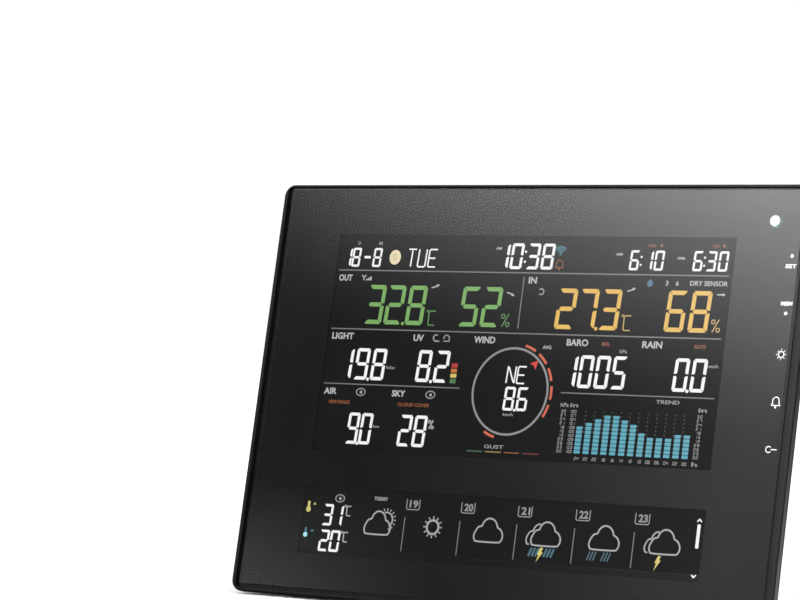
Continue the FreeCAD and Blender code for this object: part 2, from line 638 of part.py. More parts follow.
def make_antenna_wire():
    """Quarter-wave wire of the sensor radio, rising from its module and turned along the top."""
    y = BOARD_BACK + 2.0
    start = (WIRE_X0, BOARD_BACK + 1.0, WIRE_Z0)
    low = (WIRE_X0, y, WIRE_Z0)
    top = (WIRE_X0, y, WIRE_Z1)
    runs = [rod(WIRE_R, start, low), rod(WIRE_R, low, top), rod(WIRE_R, top, (WIRE_X1, y, WIRE_Z1))]
    elbows = [Part.makeSphere(WIRE_R, V(*low)), Part.makeSphere(WIRE_R, V(*top))]
    return union(runs + elbows)


def make_buzzer():
    top = BOARD_BACK + BUZZER_T
    body = pin(BUZZER_R, BUZZER_X, BUZZER_Z, BOARD_BACK, top)
    body = body.makeFillet(0.5, edges_at(body, "Y", top))
    return cut(body, pin(1.1, BUZZER_X, BUZZER_Z, top - 0.8, top + 1))


def make_pressure_sensor():
    lid = on_board(*PRESSURE_LID)
    x, z = PRESSURE_LID[3] - 1.2, PRESSURE_LID[4] + 1.2
    return cut(lid, pin(0.5, x, z, BOARD_BACK + 1.0, BOARD_BACK + 2))


def make_ribbon_socket():
    return on_board(*RIBBON_SOCKET)


def make_touch_board():
    """Key electrodes close behind the lens, widened at the top for the light sensor."""
    y0, y1 = FLOOR_Y + 0.1, FLOOR_Y + 0.1 + TOUCH_T
    strip = box(TOUCH[0], TOUCH[1], y0, y1, TOUCH[2], TOUCH[3])
    head = box(TOUCH_HEAD[0], TOUCH_HEAD[1], y0, y1, TOUCH_HEAD[2], TOUCH_HEAD[3])
    x, z = SENSOR_SPOT
    sensor_seat = box(x - 1.5, x + 1.5, FLOOR_Y, FLOOR_Y + 0.7, z - 1.4, z + 1.4)
    return cut(union([strip, head]), sensor_seat)


def make_light_sensor():
    x, z = SENSOR_SPOT
    return box(x - 1.3, x + 1.3, FLOOR_Y, FLOOR_Y + 0.65, z - 1.2, z + 1.2)


def make_touch_ribbon():
    """Flat cable from the touch board, back past the holder, to its socket."""
    t, x, z0, z1 = CABLE_T, TOUCH_CABLE_X, TOUCH_CABLE_Z0, TOUCH_CABLE_Z1
    y_back = BOARD_BACK + 1.0
    back = box(x, x + t, FLOOR_Y + 0.1 + TOUCH_T, y_back + t, z0, z1)
    across = box(TOUCH_CABLE_END, x + t, y_back, y_back + t, z0, z1)
    ribbon = union([back, across])
    bend = [
        e for e in ribbon.Edges
        if e.BoundBox.XMin > x + t / 2 and e.BoundBox.YMin > y_back + t / 2
    ]
    return ribbon.makeFillet(t * 0.9, bend)


def make_indoor_sensor_board():
    """Small board with the temperature and humidity sensor, behind the air slots."""
    y0, y1 = SENSOR_BOARD_Y, SENSOR_BOARD_Y + SENSOR_BOARD_T
    x0, x1, z0, z1 = SENSOR_BOARD
    board = box(x0, x1, y0, y1, z0, z1)
    chip = box(-69, -66, y1 - 0.1, y1 + 1.1, z0 + 3, z1 - 3)
    return union([board, chip])


def make_power_jack():
    """Barrel jack whose sloping face stands in its window, just below the tapered side."""
    y0, y1, z0, z1 = JACK
    outer = [
        V(JACK_X0, y0, z0), V(side_x(y0) - JACK_RECESS, y0, z0),
        V(side_x(y1) - JACK_RECESS, y1, z0), V(JACK_X0, y1, z0),
    ]
    housing = Part.Face(Part.makePolygon(outer + outer[:1])).extrude(V(0, 0, z1 - z0))
    mouth_x = side_x(JACK_Y) - JACK_RECESS
    end_x = mouth_x - JACK_DEPTH
    bore = rod(JACK_BORE_R, (end_x, JACK_Y, JACK_Z), (CASE_W, JACK_Y, JACK_Z))
    collar = rod(JACK_BORE_R + 1.2, (mouth_x - 1.8, JACK_Y, JACK_Z), (CASE_W, JACK_Y, JACK_Z))
    post = rod(JACK_POST_R, (end_x - 0.2, JACK_Y, JACK_Z), (mouth_x - 2.4, JACK_Y, JACK_Z))
    return union([cut(housing, bore, collar), post])


# ---- fasteners and feet -------------------------------------------------------------------
def screw(x, z, seat_y, head_r, head_t, shank_r, length):
    """Cross-head screw driven from behind: head behind seat_y, shank towards the front."""
    head = pin(head_r, x, z, seat_y, seat_y + head_t)
    head = head.makeFillet(head_t * 0.45, edges_at(head, "Y", seat_y + head_t))
    shank = pin(shank_r, x, z, seat_y - length, seat_y + 0.1)
    arm, slit = head_r * 0.6, head_r * 0.13
    top = seat_y + head_t
    cross = [
        box(x - arm, x + arm, top - head_t * 0.6, top + 1, z - slit, z + slit),
        box(x - slit, x + slit, top - head_t * 0.6, top + 1, z - arm, z + arm),
    ]
    return cut(union([head, shank]), *cross)


def make_case_screws():
    return Part.makeCompound(
        [screw(x, z, CASE_SCREW_SEAT, 2.4, 1.7, CASE_PILOT_R, 9.0) for x, z in CASE_SCREWS]
    )


def make_holder_screws():
    return Part.makeCompound(
        [screw(x, z, EAR_SEAT, 1.9, 1.2, SMALL_PILOT_R, 4.4) for x, z in HOLDER_SCREWS]
    )


def make_board_screws():
    return Part.makeCompound(
        [screw(x, z, BOARD_BACK, 1.9, 1.2, SMALL_PILOT_R, 3.7) for x, z in BOARD_SCREWS]
    )


def make_foot_pads():
    """Rubber feet set in the tapered underside, with soles that lie flat on the table."""
    def sole(y):
        return (TABLE_H + y * SIN_L) / COS_L

    pads = []
    for sign in (-1, 1):
        x0 = sign * PAD_X - PAD_W / 2 + 0.1
        y0, y1 = PAD_Y0 + 0.1, PAD_Y1 - 0.1
        points = [(y0, sole(y0)), (y1, sole(y1)), (y1, taper_z(y1) + 0.6), (y0, taper_z(y0) + 0.6)]
        pads.append(profile(points, x0, x0 + PAD_W - 0.2))
    return Part.makeCompound(pads)


# ---- assembly -----------------------------------------------------------------------------
def build():
    """Every node in the panel frame."""
    nodes = {
        "front_lens": make_front_lens(),
        "mask_film": make_mask_film(),
        "lens_tape": make_lens_tape(),
        "front_casing": make_front_casing(),
        "rear_cover": make_rear_cover(),
        "front_polariser": lcd_sheet(LCD_Y - SHEET_T, SHEET_T, SHEET_INSET, LCD_LEDGE),
        "lcd_cell": make_lcd_cell(),
        "rear_polariser": lcd_sheet(LCD_Y + LCD_T, SHEET_T, SHEET_INSET, LCD_LEDGE),
        "diffuser_sheet": lcd_sheet(DIFFUSER_Y, DIFFUSER_T, SHEET_INSET, LCD_LEDGE),
        "light_guide": window(GUIDE, GUIDE_Y, GUIDE_Y + GUIDE_T),
        "reflector_sheet": window(REFLECTOR, REFLECTOR_Y, REFLECTOR_Y + REFLECTOR_T),
        "led_strip": make_led_strip(),
        "lcd_holder": make_lcd_holder(),
        "lcd_ribbon": make_lcd_ribbon(),
        "main_board": make_main_board(),
        "main_chip": make_main_chip(),
        "wifi_module": make_wifi_module(),
        "radio_module": make_radio_module(),
        "antenna_wire": make_antenna_wire(),
        "buzzer": make_buzzer(),
        "pressure_sensor": make_pressure_sensor(),
        "ribbon_socket": make_ribbon_socket(),
        "tact_switches": make_tact_switches(),
        "touch_board": make_touch_board(),
        "touch_ribbon": make_touch_ribbon(),
        "light_sensor": make_light_sensor(),
        "indoor_sensor_board": make_indoor_sensor_board(),
        "power_jack": make_power_jack(),
        "battery_door": make_battery_door(),
        "coin_cell": make_coin_cell(),
        "minus_contact": make_minus_contact(),
        "plus_contact": make_plus_contact(),
        "table_stand": make_table_stand(),
        "case_screws": make_case_screws(),
        "holder_screws": make_holder_screws(),
        "board_screws": make_board_screws(),
        "foot_pads": make_foot_pads(),
    }
    for name in KEYS:
        nodes[name] = make_key(name)
    return nodes


def lean(shape):
    leaned = shape.copy()
    leaned.rotate(V(0, 0, 0), V(1, 0, 0), -LEAN)
    leaned.translate(V(0, 0, -TABLE_H))
    return leaned


def place(nodes):
    """Leans every node back and centres the whole over the origin, front to back."""
    leaned = {name: lean(shape) for name, shape in nodes.items()}
    boxes = [shape.optimalBoundingBox() for shape in leaned.values()]
    middle = (min(b.YMin for b in boxes) + max(b.YMax for b in boxes)) / 2
    for shape in leaned.values():
        shape.translate(V(0, -middle, 0))
    return leaned, middle


os.makedirs("parts", exist_ok=True)
PLACED, MIDDLE_Y = place(build())
for node_name, placed in PLACED.items():
    placed.exportStep("parts/" + node_name + ".step")
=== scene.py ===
"""Looks for the home weather station console: display graphics, prints, materials, lights and camera."""

import json
import math

import bmesh
import bpy
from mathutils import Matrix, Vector


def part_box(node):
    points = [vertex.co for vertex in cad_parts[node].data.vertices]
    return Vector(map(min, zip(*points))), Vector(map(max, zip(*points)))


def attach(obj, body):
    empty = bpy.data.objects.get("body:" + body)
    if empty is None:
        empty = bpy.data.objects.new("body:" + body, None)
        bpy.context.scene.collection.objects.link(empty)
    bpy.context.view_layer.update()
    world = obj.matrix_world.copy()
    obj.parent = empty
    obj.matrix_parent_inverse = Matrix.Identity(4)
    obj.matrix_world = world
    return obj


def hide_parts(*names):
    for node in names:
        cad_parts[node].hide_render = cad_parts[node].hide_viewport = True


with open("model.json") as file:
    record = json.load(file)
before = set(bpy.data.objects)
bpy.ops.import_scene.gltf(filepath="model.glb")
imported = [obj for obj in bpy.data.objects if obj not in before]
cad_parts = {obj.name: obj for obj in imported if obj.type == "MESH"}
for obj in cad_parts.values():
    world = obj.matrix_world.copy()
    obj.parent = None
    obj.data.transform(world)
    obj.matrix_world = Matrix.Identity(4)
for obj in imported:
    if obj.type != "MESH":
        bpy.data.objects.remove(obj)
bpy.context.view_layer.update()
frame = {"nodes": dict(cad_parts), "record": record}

MM = 0.001
LEAN = math.radians(13.3)       # the panel leans back from upright
LENS_W = 196.0                  # the lens, in millimetres
LENS_H = 136.0
LENS_T = 2.0

# ---------------------------------------------------------------- panel frame
# Millimetres on the lens: x from its left edge, y down from its top edge, depth into the case.

RIGHT = Vector((1, 0, 0))
DOWN = Vector((0, -math.sin(LEAN), -math.cos(LEAN)))
INWARD = Vector((0, math.cos(LEAN), -math.sin(LEAN)))

lens_low, lens_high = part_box("front_lens")
lens_middle = (lens_low + lens_high) / 2 - INWARD * (LENS_T / 2 * MM)
lens_corner = lens_middle - RIGHT * (LENS_W / 2 * MM) - DOWN * (LENS_H / 2 * MM)


def at(x, y, depth=0.0):
    """The point in the object's frame at x, y and depth on the panel."""
    return lens_corner + (RIGHT * x + DOWN * y + INWARD * depth) * MM


# ---------------------------------------------------------------- camera

CAMERA_FROM_LENS = Vector((0.56691, -0.90552, 0.06510))
CAMERA_YAW = math.radians(33.965)
CAMERA_DOWN = math.radians(1.866)
FOCAL_LENGTH = 149.586
SENSOR_WIDTH = 36.0

camera_data = bpy.data.cameras.new("camera")
camera_data.sensor_width = SENSOR_WIDTH
camera_data.lens = FOCAL_LENGTH
camera_data.clip_start = 0.01
camera_data.clip_end = 60.0
camera = bpy.data.objects.new("camera", camera_data)
camera.location = lens_middle + CAMERA_FROM_LENS
camera.rotation_euler = (math.pi / 2 - CAMERA_DOWN, 0.0, CAMERA_YAW)
bpy.context.scene.collection.objects.link(camera)
bpy.context.scene.camera = camera


# ---------------------------------------------------------------- materials

LOW_STOP = 0.3    # the middle range of a noise texture's values
HIGH_STOP = 0.7


def new_material(name):
    """An empty node material, its tree and its output node."""
    material = bpy.data.materials.new(name)
    material.use_nodes = True
    tree = material.node_tree
    tree.nodes.clear()
    return material, tree, tree.nodes.new("ShaderNodeOutputMaterial")


def noise(tree, scale, detail=3.0, stretch=(1, 1, 1)):
    """A noise texture over the object's own coordinates. Scale is in features per metre."""
    place = tree.nodes.new("ShaderNodeTexCoord")
    mapping = tree.nodes.new("ShaderNodeMapping")
    mapping.inputs["Scale"].default_value = stretch
    texture = tree.nodes.new("ShaderNodeTexNoise")
    texture.inputs["Scale"].default_value = scale
    texture.inputs["Detail"].default_value = detail
    tree.links.new(place.outputs["Object"], mapping.inputs["Vector"])
    tree.links.new(mapping.outputs["Vector"], texture.inputs["Vector"])
    return texture


def ramp(tree, source, stops):
    """A colour ramp over a texture's factor. Stops are (position, (r, g, b))."""
    node = tree.nodes.new("ShaderNodeValToRGB")
    while len(node.color_ramp.elements) < len(stops):
        node.color_ramp.elements.new(0.5)
    for element, (position, colour) in zip(node.color_ramp.elements, stops):
        element.position = position
        element.color = (*colour, 1.0)
    tree.links.new(source, node.inputs["Fac"])
    return node.outputs["Color"]


def spread(tree, source, low, high):
    """The texture's middle range stretched to low..high."""
    node = tree.nodes.new("ShaderNodeMapRange")
    node.inputs["From Min"].default_value = LOW_STOP
    node.inputs["From Max"].default_value = HIGH_STOP
    node.inputs["To Min"].default_value = low
    node.inputs["To Max"].default_value = high
    tree.links.new(source, node.inputs["Value"])
    return node.outputs["Result"]


def shaded(colour, factor):
    """The colour made lighter or darker by a factor."""
    return tuple(channel * factor for channel in colour)


def surface(name, colour, rough, metal=0.0, specular=0.5, tone=0.12, tone_scale=60.0,
            grain=3000.0, grain_height=0.00002, smears=0.06, stretch=(1, 1, 1), leak=None):
    """A solid finish: colour that drifts a little, handled patches in the gloss, and fine grain."""
    material, tree, output = new_material(name)
    shader = tree.nodes.new("ShaderNodeBsdfPrincipled")
    drift = noise(tree, tone_scale, 4.0, stretch)
    stops = [(LOW_STOP, shaded(colour, 1 - tone)), (HIGH_STOP, shaded(colour, 1 + tone))]
    tint = ramp(tree, drift.outputs["Fac"], stops)
    tree.links.new(tint, shader.inputs["Base Color"])
    handled = noise(tree, 45.0, 5.0, stretch)
    gloss = spread(tree, handled.outputs["Fac"], max(0.02, rough - smears), min(1.0, rough + smears))
    tree.links.new(gloss, shader.inputs["Roughness"])
    fine = noise(tree, grain, 2.0, stretch)
    bump = tree.nodes.new("ShaderNodeBump")
    bump.inputs["Strength"].default_value = 0.5
    bump.inputs["Distance"].default_value = grain_height
    tree.links.new(fine.outputs["Fac"], bump.inputs["Height"])
    tree.links.new(bump.outputs["Normal"], shader.inputs["Normal"])
    shader.inputs["Metallic"].default_value = metal
    shader.inputs["Specular IOR Level"].default_value = specular
    if leak:   # a display's backlight leaks a little through its dark state
        seep = noise(tree, 25.0, 1.0)
        seeping = ramp(tree, seep.outputs["Fac"], [(LOW_STOP, shaded(leak, 0.94)), (HIGH_STOP, leak)])
        tree.links.new(seeping, shader.inputs["Emission Color"])
        shader.inputs["Emission Strength"].default_value = 1.0
    tree.links.new(shader.outputs["BSDF"], output.inputs["Surface"])
    return material


def clear_sheet(name, tint, ior, rough_low, rough_high):
    """Clear plastic: what is behind it shows through, and its gloss has faint wiping marks."""
    material, tree, output = new_material(name)
    through = tree.nodes.new("ShaderNodeBsdfTransparent")
    through.inputs["Color"].default_value = (*tint, 1.0)
    gloss = tree.nodes.new("ShaderNodeBsdfGlossy")
    wiped = noise(tree, 70.0, 6.0, (1.0, 1.0, 0.35))
    tree.links.new(spread(tree, wiped.outputs["Fac"], rough_low, rough_high), gloss.inputs["Roughness"])
    fresnel = tree.nodes.new("ShaderNodeFresnel")
    fresnel.inputs["IOR"].default_value = ior
    sides = tree.nodes.new("ShaderNodeNewGeometry")
    outer = tree.nodes.new("ShaderNodeMath")      # only the outer side mirrors, so light leaves freely
    outer.operation = "SUBTRACT"
    outer.inputs[0].default_value = 1.0
    tree.links.new(sides.outputs["Backfacing"], outer.inputs[1])
    share = tree.nodes.new("ShaderNodeMath")
    share.operation = "MULTIPLY"
    tree.links.new(fresnel.outputs["Fac"], share.inputs[0])
    tree.links.new(outer.outputs[0], share.inputs[1])
    mix = tree.nodes.new("ShaderNodeMixShader")
    tree.links.new(share.outputs[0], mix.inputs["Fac"])
    tree.links.new(through.outputs["BSDF"], mix.inputs[1])
    tree.links.new(gloss.outputs["BSDF"], mix.inputs[2])
    tree.links.new(mix.outputs["Shader"], output.inputs["Surface"])
    return material


def lit(name, colour, strength):
    """A lit segment of the display: the backlight's own unevenness shows in its colour."""
    material, tree, output = new_material(name)
    shader = tree.nodes.new("ShaderNodeBsdfPrincipled")
    uneven = noise(tree, 90.0, 1.0)
    glow = ramp(tree, uneven.outputs["Fac"], [(LOW_STOP, shaded(colour, 0.93)), (HIGH_STOP, colour)])
    tree.links.new(glow, shader.inputs["Emission Color"])
    shader.inputs["Base Color"].default_value = (0.01, 0.01, 0.01, 1.0)
    shader.inputs["Emission Strength"].default_value = strength
    weave = noise(tree, 900.0, 2.0)
    tree.links.new(spread(tree, weave.outputs["Fac"], 0.35, 0.5), shader.inputs["Roughness"])
    shader.inputs["Specular IOR Level"].default_value = 0.1
    tree.links.new(shader.outputs["BSDF"], output.inputs["Surface"])
    return material


def board_finish(name):
    """Green solder mask with copper tracks showing darker under it."""
    material, tree, output = new_material(name)
    shader = tree.nodes.new("ShaderNodeBsdfPrincipled")
    place = tree.nodes.new("ShaderNodeTexCoord")
    tracks = tree.nodes.new("ShaderNodeTexBrick")
    tracks.inputs["Scale"].default_value = 120.0
    tracks.inputs["Color1"].default_value = (0.010, 0.085, 0.035, 1.0)
    tracks.inputs["Color2"].default_value = (0.014, 0.105, 0.045, 1.0)
    tracks.inputs["Mortar"].default_value = (0.030, 0.180, 0.080, 1.0)
    tracks.inputs["Mortar Size"].default_value = 0.03
    tree.links.new(place.outputs["Object"], tracks.inputs["Vector"])
    tree.links.new(tracks.outputs["Color"], shader.inputs["Base Color"])
    film = noise(tree, 200.0)
    tree.links.new(spread(tree, film.outputs["Fac"], 0.25, 0.4), shader.inputs["Roughness"])
    bump = tree.nodes.new("ShaderNodeBump")
    bump.inputs["Strength"].default_value = 0.4
    bump.inputs["Distance"].default_value = 0.00003
    tree.links.new(tracks.outputs["Fac"], bump.inputs["Height"])
    tree.links.new(bump.outputs["Normal"], shader.inputs["Normal"])
    tree.links.new(shader.outputs["BSDF"], output.inputs["Surface"])
    return material


FINISHES = {
    "lens_acrylic": clear_sheet("lens_acrylic", (0.985, 0.985, 0.985), 1.49, 0.012, 0.022),
    "clear_tape": clear_sheet("clear_tape", (0.8, 0.8, 0.8), 1.45, 0.15, 0.3),
    "black_print": surface("black_print", (0.0045, 0.0045, 0.0045), 0.20, specular=0.22, tone=0.03,
                           grain=900.0, grain_height=0.00000002, smears=0.02),
    "casing_plastic": surface("casing_plastic", (0.0024, 0.0024, 0.0026), 0.32, specular=0.30, tone=0.15,
                              grain=2600.0, grain_height=0.000012, smears=0.07),
    "cover_plastic": surface("cover_plastic", (0.016, 0.016, 0.017), 0.55, specular=0.16, tone=0.15,
                             grain=2200.0, grain_height=0.00005, smears=0.07),
    "polariser_film": surface("polariser_film", (0.0013, 0.0013, 0.0014), 0.35, specular=0.06, tone=0.05,
                              grain=900.0, grain_height=0.00000005, smears=0.03,
                              leak=(0.0062, 0.0064, 0.0068)),
    "lcd_glass": surface("lcd_glass", (0.02, 0.024, 0.026), 0.06, tone=0.05, smears=0.03,
                         grain=1500.0, grain_height=0.000001),
    "diffuser_film": surface("diffuser_film", (0.78, 0.78, 0.76), 0.6, tone=0.03, smears=0.05,
                             grain=5000.0, grain_height=0.00001),
    "guide_acrylic": surface("guide_acrylic", (0.68, 0.72, 0.72), 0.1, tone=0.04, smears=0.04,
                             grain=1200.0, grain_height=0.00001),
    "white_plastic": surface("white_plastic", (0.72, 0.72, 0.70), 0.42, tone=0.05, smears=0.08,
                             grain=2500.0, grain_height=0.00002),
    "circuit_board": board_finish("circuit_board"),
    "flat_cable": surface("flat_cable", (0.52, 0.33, 0.10), 0.3, tone=0.25, tone_scale=900.0,
                          stretch=(1.0, 0.02, 0.02), smears=0.08),
    "chip_black": surface("chip_black", (0.018, 0.018, 0.019), 0.55, tone=0.2, grain=4000.0),
    "shield_steel": surface("shield_steel", (0.55, 0.55, 0.53), 0.32, metal=1.0, tone=0.08,
                            stretch=(0.15, 1.0, 1.0), grain=1800.0, grain_height=0.00001),
    "enamel_wire": surface("enamel_wire", (0.42, 0.13, 0.04), 0.25, metal=1.0, tone=0.15),
    "socket_plastic": surface("socket_plastic", (0.010, 0.010, 0.011), 0.38, tone=0.2,
                              grain=2400.0, grain_height=0.00002),
    "cell_steel": surface("cell_steel", (0.62, 0.61, 0.58), 0.22, metal=1.0, tone=0.06,
                          stretch=(1.0, 1.0, 0.1), grain=2200.0, grain_height=0.000008),
    "contact_steel": surface("contact_steel", (0.66, 0.62, 0.54), 0.25, metal=1.0, tone=0.08),
    "screw_steel": surface("screw_steel", (0.33, 0.33, 0.34), 0.35, metal=1.0, tone=0.15,
                           tone_scale=400.0, grain_height=0.00001),
    "key_rubber": surface("key_rubber", (0.030, 0.030, 0.032), 0.72, specular=0.3, tone=0.12,
                          grain=1800.0, grain_height=0.00005),
    "foot_rubber": surface("foot_rubber", (0.022, 0.022, 0.023), 0.8, specular=0.3, tone=0.15,
                           grain=1500.0, grain_height=0.00008),
}

# Every CAD node keeps its shape and takes the finish of its slot.

for part in frame["record"]["subparts"]:
    node = frame["nodes"][part["node"]]
    node.data.materials.clear()
    node.data.materials.append(FINISHES[part["material_slot"]])

# The print is its own piece, a hair's breadth clear of the lens in front of it and the tape behind it.

PRINT_GAP = 0.02
PRINT_MIDDLE = 2.1              # depth of the film's middle
mask = bpy.data.objects.new("printed_mask", frame["nodes"]["mask_film"].data.copy())
for vertex in mask.data.vertices:
    depth = (vertex.co - lens_corner).dot(INWARD) / MM
    vertex.co += INWARD * MM * (PRINT_GAP if depth < PRINT_MIDDLE else -PRINT_GAP)
bpy.context.scene.collection.objects.link(mask)
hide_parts("mask_film")
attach(mask, "console")

WHITE = lit("segments_white", (0.97, 0.98, 0.98), 1.0)
SOFT_WHITE = lit("legends_white", (0.50, 0.51, 0.52), 1.0)
DIM_WHITE = lit("marks_dim", (0.30, 0.305, 0.31), 1.0)
GREY = lit("rules_grey", (0.20, 0.205, 0.21), 1.0)
GREEN = lit("segments_green", (0.20, 0.44, 0.12), 1.0)
AMBER = lit("segments_amber", (0.82, 0.50, 0.09), 1.0)
CYAN = lit("chart_cyan", (0.085, 0.39, 0.50), 1.0)
CYAN_DEEP = lit("chart_cyan_deep", (0.03, 0.17, 0.24), 1.0)
TEAL = lit("marks_teal", (0.055, 0.22, 0.29), 1.0)
BLUE = lit("marks_blue", (0.05, 0.15, 0.28), 1.0)
ORANGE = lit("marks_orange", (0.30, 0.085, 0.025), 1.0)
VERMILION = lit("arc_vermilion", (0.66, 0.125, 0.06), 1.0)
RED = lit("pointer_red", (0.72, 0.045, 0.035), 1.0)
YELLOW = lit("marks_yellow", (0.74, 0.64, 0.16), 1.0)
PALE_YELLOW = lit("moon_yellow", (0.86, 0.74, 0.48), 1.0)
PALE_CYAN = lit("marks_pale_cyan", (0.42, 0.82, 0.90), 1.0)
PRINT = surface("key_print", (0.16, 0.16, 0.165), 0.5, specular=0.2, tone=0.15, tone_scale=700.0)


# ---------------------------------------------------------------- thin shapes on the panel

FACE = 2.34      # front and back of the display's segments, just ahead of the front polariser
BACK = 2.43
PRINT_FACE = 1.93    # front and back of the marks on the back of the lens
PRINT_BACK = 1.985
SLOPE = 0.05     # the digits lean right by this much of their height
BOLD = 0.03      # how far the lettering's outline grows
PLAIN = 0.02


class Ink:
    """Thin closed shapes on the panel, gathered into one piece."""

    def __init__(self, front=FACE, back=BACK):
        self.mesh = bmesh.new()
        self.front = front
        self.back = back

    def fill(self, points):
        """A plate with this outline."""
        near = [self.mesh.verts.new(at(x, y, self.front)) for x, y in points]
        far = [self.mesh.verts.new(at(x, y, self.back)) for x, y in points]
        self.mesh.faces.new(near)
        self.mesh.faces.new(far[::-1])
        for i in range(len(points)):
            j = (i + 1) % len(points)
            self.mesh.faces.new((near[i], far[i], far[j], near[j]))

    def stroke(self, points, width, closed=False):
        """A line of this width through the points."""
        count = len(points)
        line = [Vector(p) for p in points]
        rings = []
        for i, p in enumerate(line):
            before = line[i - 1] if i or closed else p
            after = line[(i + 1) % count] if i < count - 1 or closed else p
            first = (p - before).normalized() if before != p else (after - p).normalized()
            second = (after - p).normalized() if after != p else first
            along = (first + second).normalized()
            side = Vector((-along.y, along.x)) * (width / 2 / max(0.5, along.dot(first)))
            rings.append([self.mesh.verts.new(at(q.x, q.y, depth))
                          for q, depth in ((p + side, self.front), (p - side, self.front),
                                           (p - side, self.back), (p + side, self.back))])
        for i in range(count if closed else count - 1):
            a, b = rings[i], rings[(i + 1) % count]
            for k in range(4):
                m = (k + 1) % 4
                self.mesh.faces.new((a[k], a[m], b[m], b[k]))
        if not closed:
            self.mesh.faces.new(rings[0])
            self.mesh.faces.new(rings[-1][::-1])

    def rect(self, x0, y0, x1, y1, corner=0.0):
        """A rectangle, with its corners rounded if corner is given."""
        if not corner:
            self.fill([(x0, y0), (x1, y0), (x1, y1), (x0, y1)])
            return
        points = []
        for cx, cy, start in ((x1 - corner, y0 + corner, -90), (x1 - corner, y1 - corner, 0),
                              (x0 + corner, y1 - corner, 90), (x0 + corner, y0 + corner, 180)):
            points += arc(cx, cy, corner, start, start + 90, 4)
        self.fill(points)

    def disc(self, x, y, radius, steps=24, squash=1.0):
        """A round plate, squash times as high as it is wide."""
        self.fill(oval(x, y, radius, radius * squash, steps))

    def ring(self, x, y, radius, width, steps=64):
        """A circle drawn with a line of this width."""
        self.stroke(oval(x, y, radius, radius, steps), width, closed=True)

    def rays(self, x, y, angles, inner, outer, width):
        """Short strokes pointing away from x, y."""
        for angle in angles:
            self.stroke([polar(x, y, inner, angle), polar(x, y, outer, angle)], width)

    def words(self, text, x0, x1, y0, y1, weight=0.0):
        """Lettering that fills the box x0..x1, y0..y1."""
        curve = bpy.data.curves.new("lettering", "FONT")
        curve.body = text
        curve.offset = weight
        curve.extrude = 0.1
        curve.resolution_u = 3
        holder = bpy.data.objects.new("lettering", curve)
        bpy.context.scene.collection.objects.link(holder)
        plain = bpy.data.meshes.new_from_object(holder)
        bpy.data.objects.remove(holder)
        bpy.data.curves.remove(curve)
        low = Vector(map(min, zip(*(v.co for v in plain.vertices))))
        high = Vector(map(max, zip(*(v.co for v in plain.vertices))))
        for v in plain.vertices:
            s = [(v.co[k] - low[k]) / (high[k] - low[k]) for k in range(3)]
            depth = self.front + (self.back - self.front) * s[2]
            v.co = at(x0 + (x1 - x0) * s[0], y1 + (y0 - y1) * s[1], depth)
        self.mesh.from_mesh(plain)
        bpy.data.meshes.remove(plain)

    def digits(self, cells, top, width, height, thick):
        """Seven-segment digits. Cells are (character, left edge at the foot)."""
        for character, left in cells:
            for outline in segments(character, width, height, thick):
                self.fill([(left + x + y * SLOPE, top + height - y) for x, y in outline])

    def piece(self, name, material, slot="lcd_glass"):
        """The shapes as one object riding on the console."""
        bmesh.ops.remove_doubles(self.mesh, verts=self.mesh.verts, dist=1e-7)
        bmesh.ops.recalc_face_normals(self.mesh, faces=self.mesh.faces)
        data = bpy.data.meshes.new(name)
        self.mesh.to_mesh(data)
        self.mesh.free()
        data.materials.append(material)
        made = bpy.data.objects.new(name, data)
        bpy.context.scene.collection.objects.link(made)
        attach(made, "console")
        return made


def polar(x, y, radius, angle):
    """The point at this radius from x, y. Angles are in degrees, 0 to the right and 90 down."""
    return x + radius * math.cos(math.radians(angle)), y + radius * math.sin(math.radians(angle))


def arc(x, y, radius, start, end, steps=12):
    """Points on an arc."""
    return [polar(x, y, radius, start + (end - start) * i / steps) for i in range(steps + 1)]


def oval(x, y, half_width, half_height, steps):
    """Points round an ellipse."""
    turns = [2 * math.pi * i / steps for i in range(steps)]
    return [(x + half_width * math.cos(turn), y + half_height * math.sin(turn)) for turn in turns]


LIT_SEGMENTS = {"0": "abcdef", "1": "bc", "2": "abged", "3": "abgcd", "4": "fgbc", "5": "afgcd",
                "6": "afgedc", "7": "abc", "8": "abcdefg", "9": "abcdfg", "-": "g"}
SEGMENT_GAP = 0.035   # share of the stroke's thickness left between neighbours, times 2


def segments(character, w, h, t):
    """Outlines of the lit segments in a box w by h, with strokes t thick. The foot is at y = 0."""
    c = 0.55 * t           # the outer corners' bevel
    g = SEGMENT_GAP * t
    m = h / 2              # the middle segment's height
    n = 0.30 * t           # the side segments stop this far from it
    upper_left = [
        (0, h - c), (c / 2 - g, h - c / 2 - 2 * g), (t, h - t - 2 * g),
        (t, m + t / 2 + 2 * g), (t / 2, m + n), (0, m + n),
    ]
    top = [
        (c / 2 + g, h - c / 2 + g), (c, h), (w - c, h),
        (w - c / 2 - g, h - c / 2 + g), (w - t - g, h - t), (t + g, h - t),
    ]
    middle = [
        (t / 2 + 2 * g, m), (t + 2 * g, m + t / 2), (w - t - 2 * g, m + t / 2),
        (w - t / 2 - 2 * g, m), (w - t - 2 * g, m - t / 2), (t + 2 * g, m - t / 2),
    ]
    shapes = {
        "a": top,
        "f": upper_left,
        "b": [(w - x, y) for x, y in upper_left],
        "e": [(x, h - y) for x, y in upper_left],
        "c": [(w - x, h - y) for x, y in upper_left],
        "d": [(x, h - y) for x, y in top],
        "g": middle,
    }
    return [shapes[s] for s in LIT_SEGMENTS[character]]


# ---------------------------------------------------------------- display: figures
# Each size is a digit's width, height and stroke.

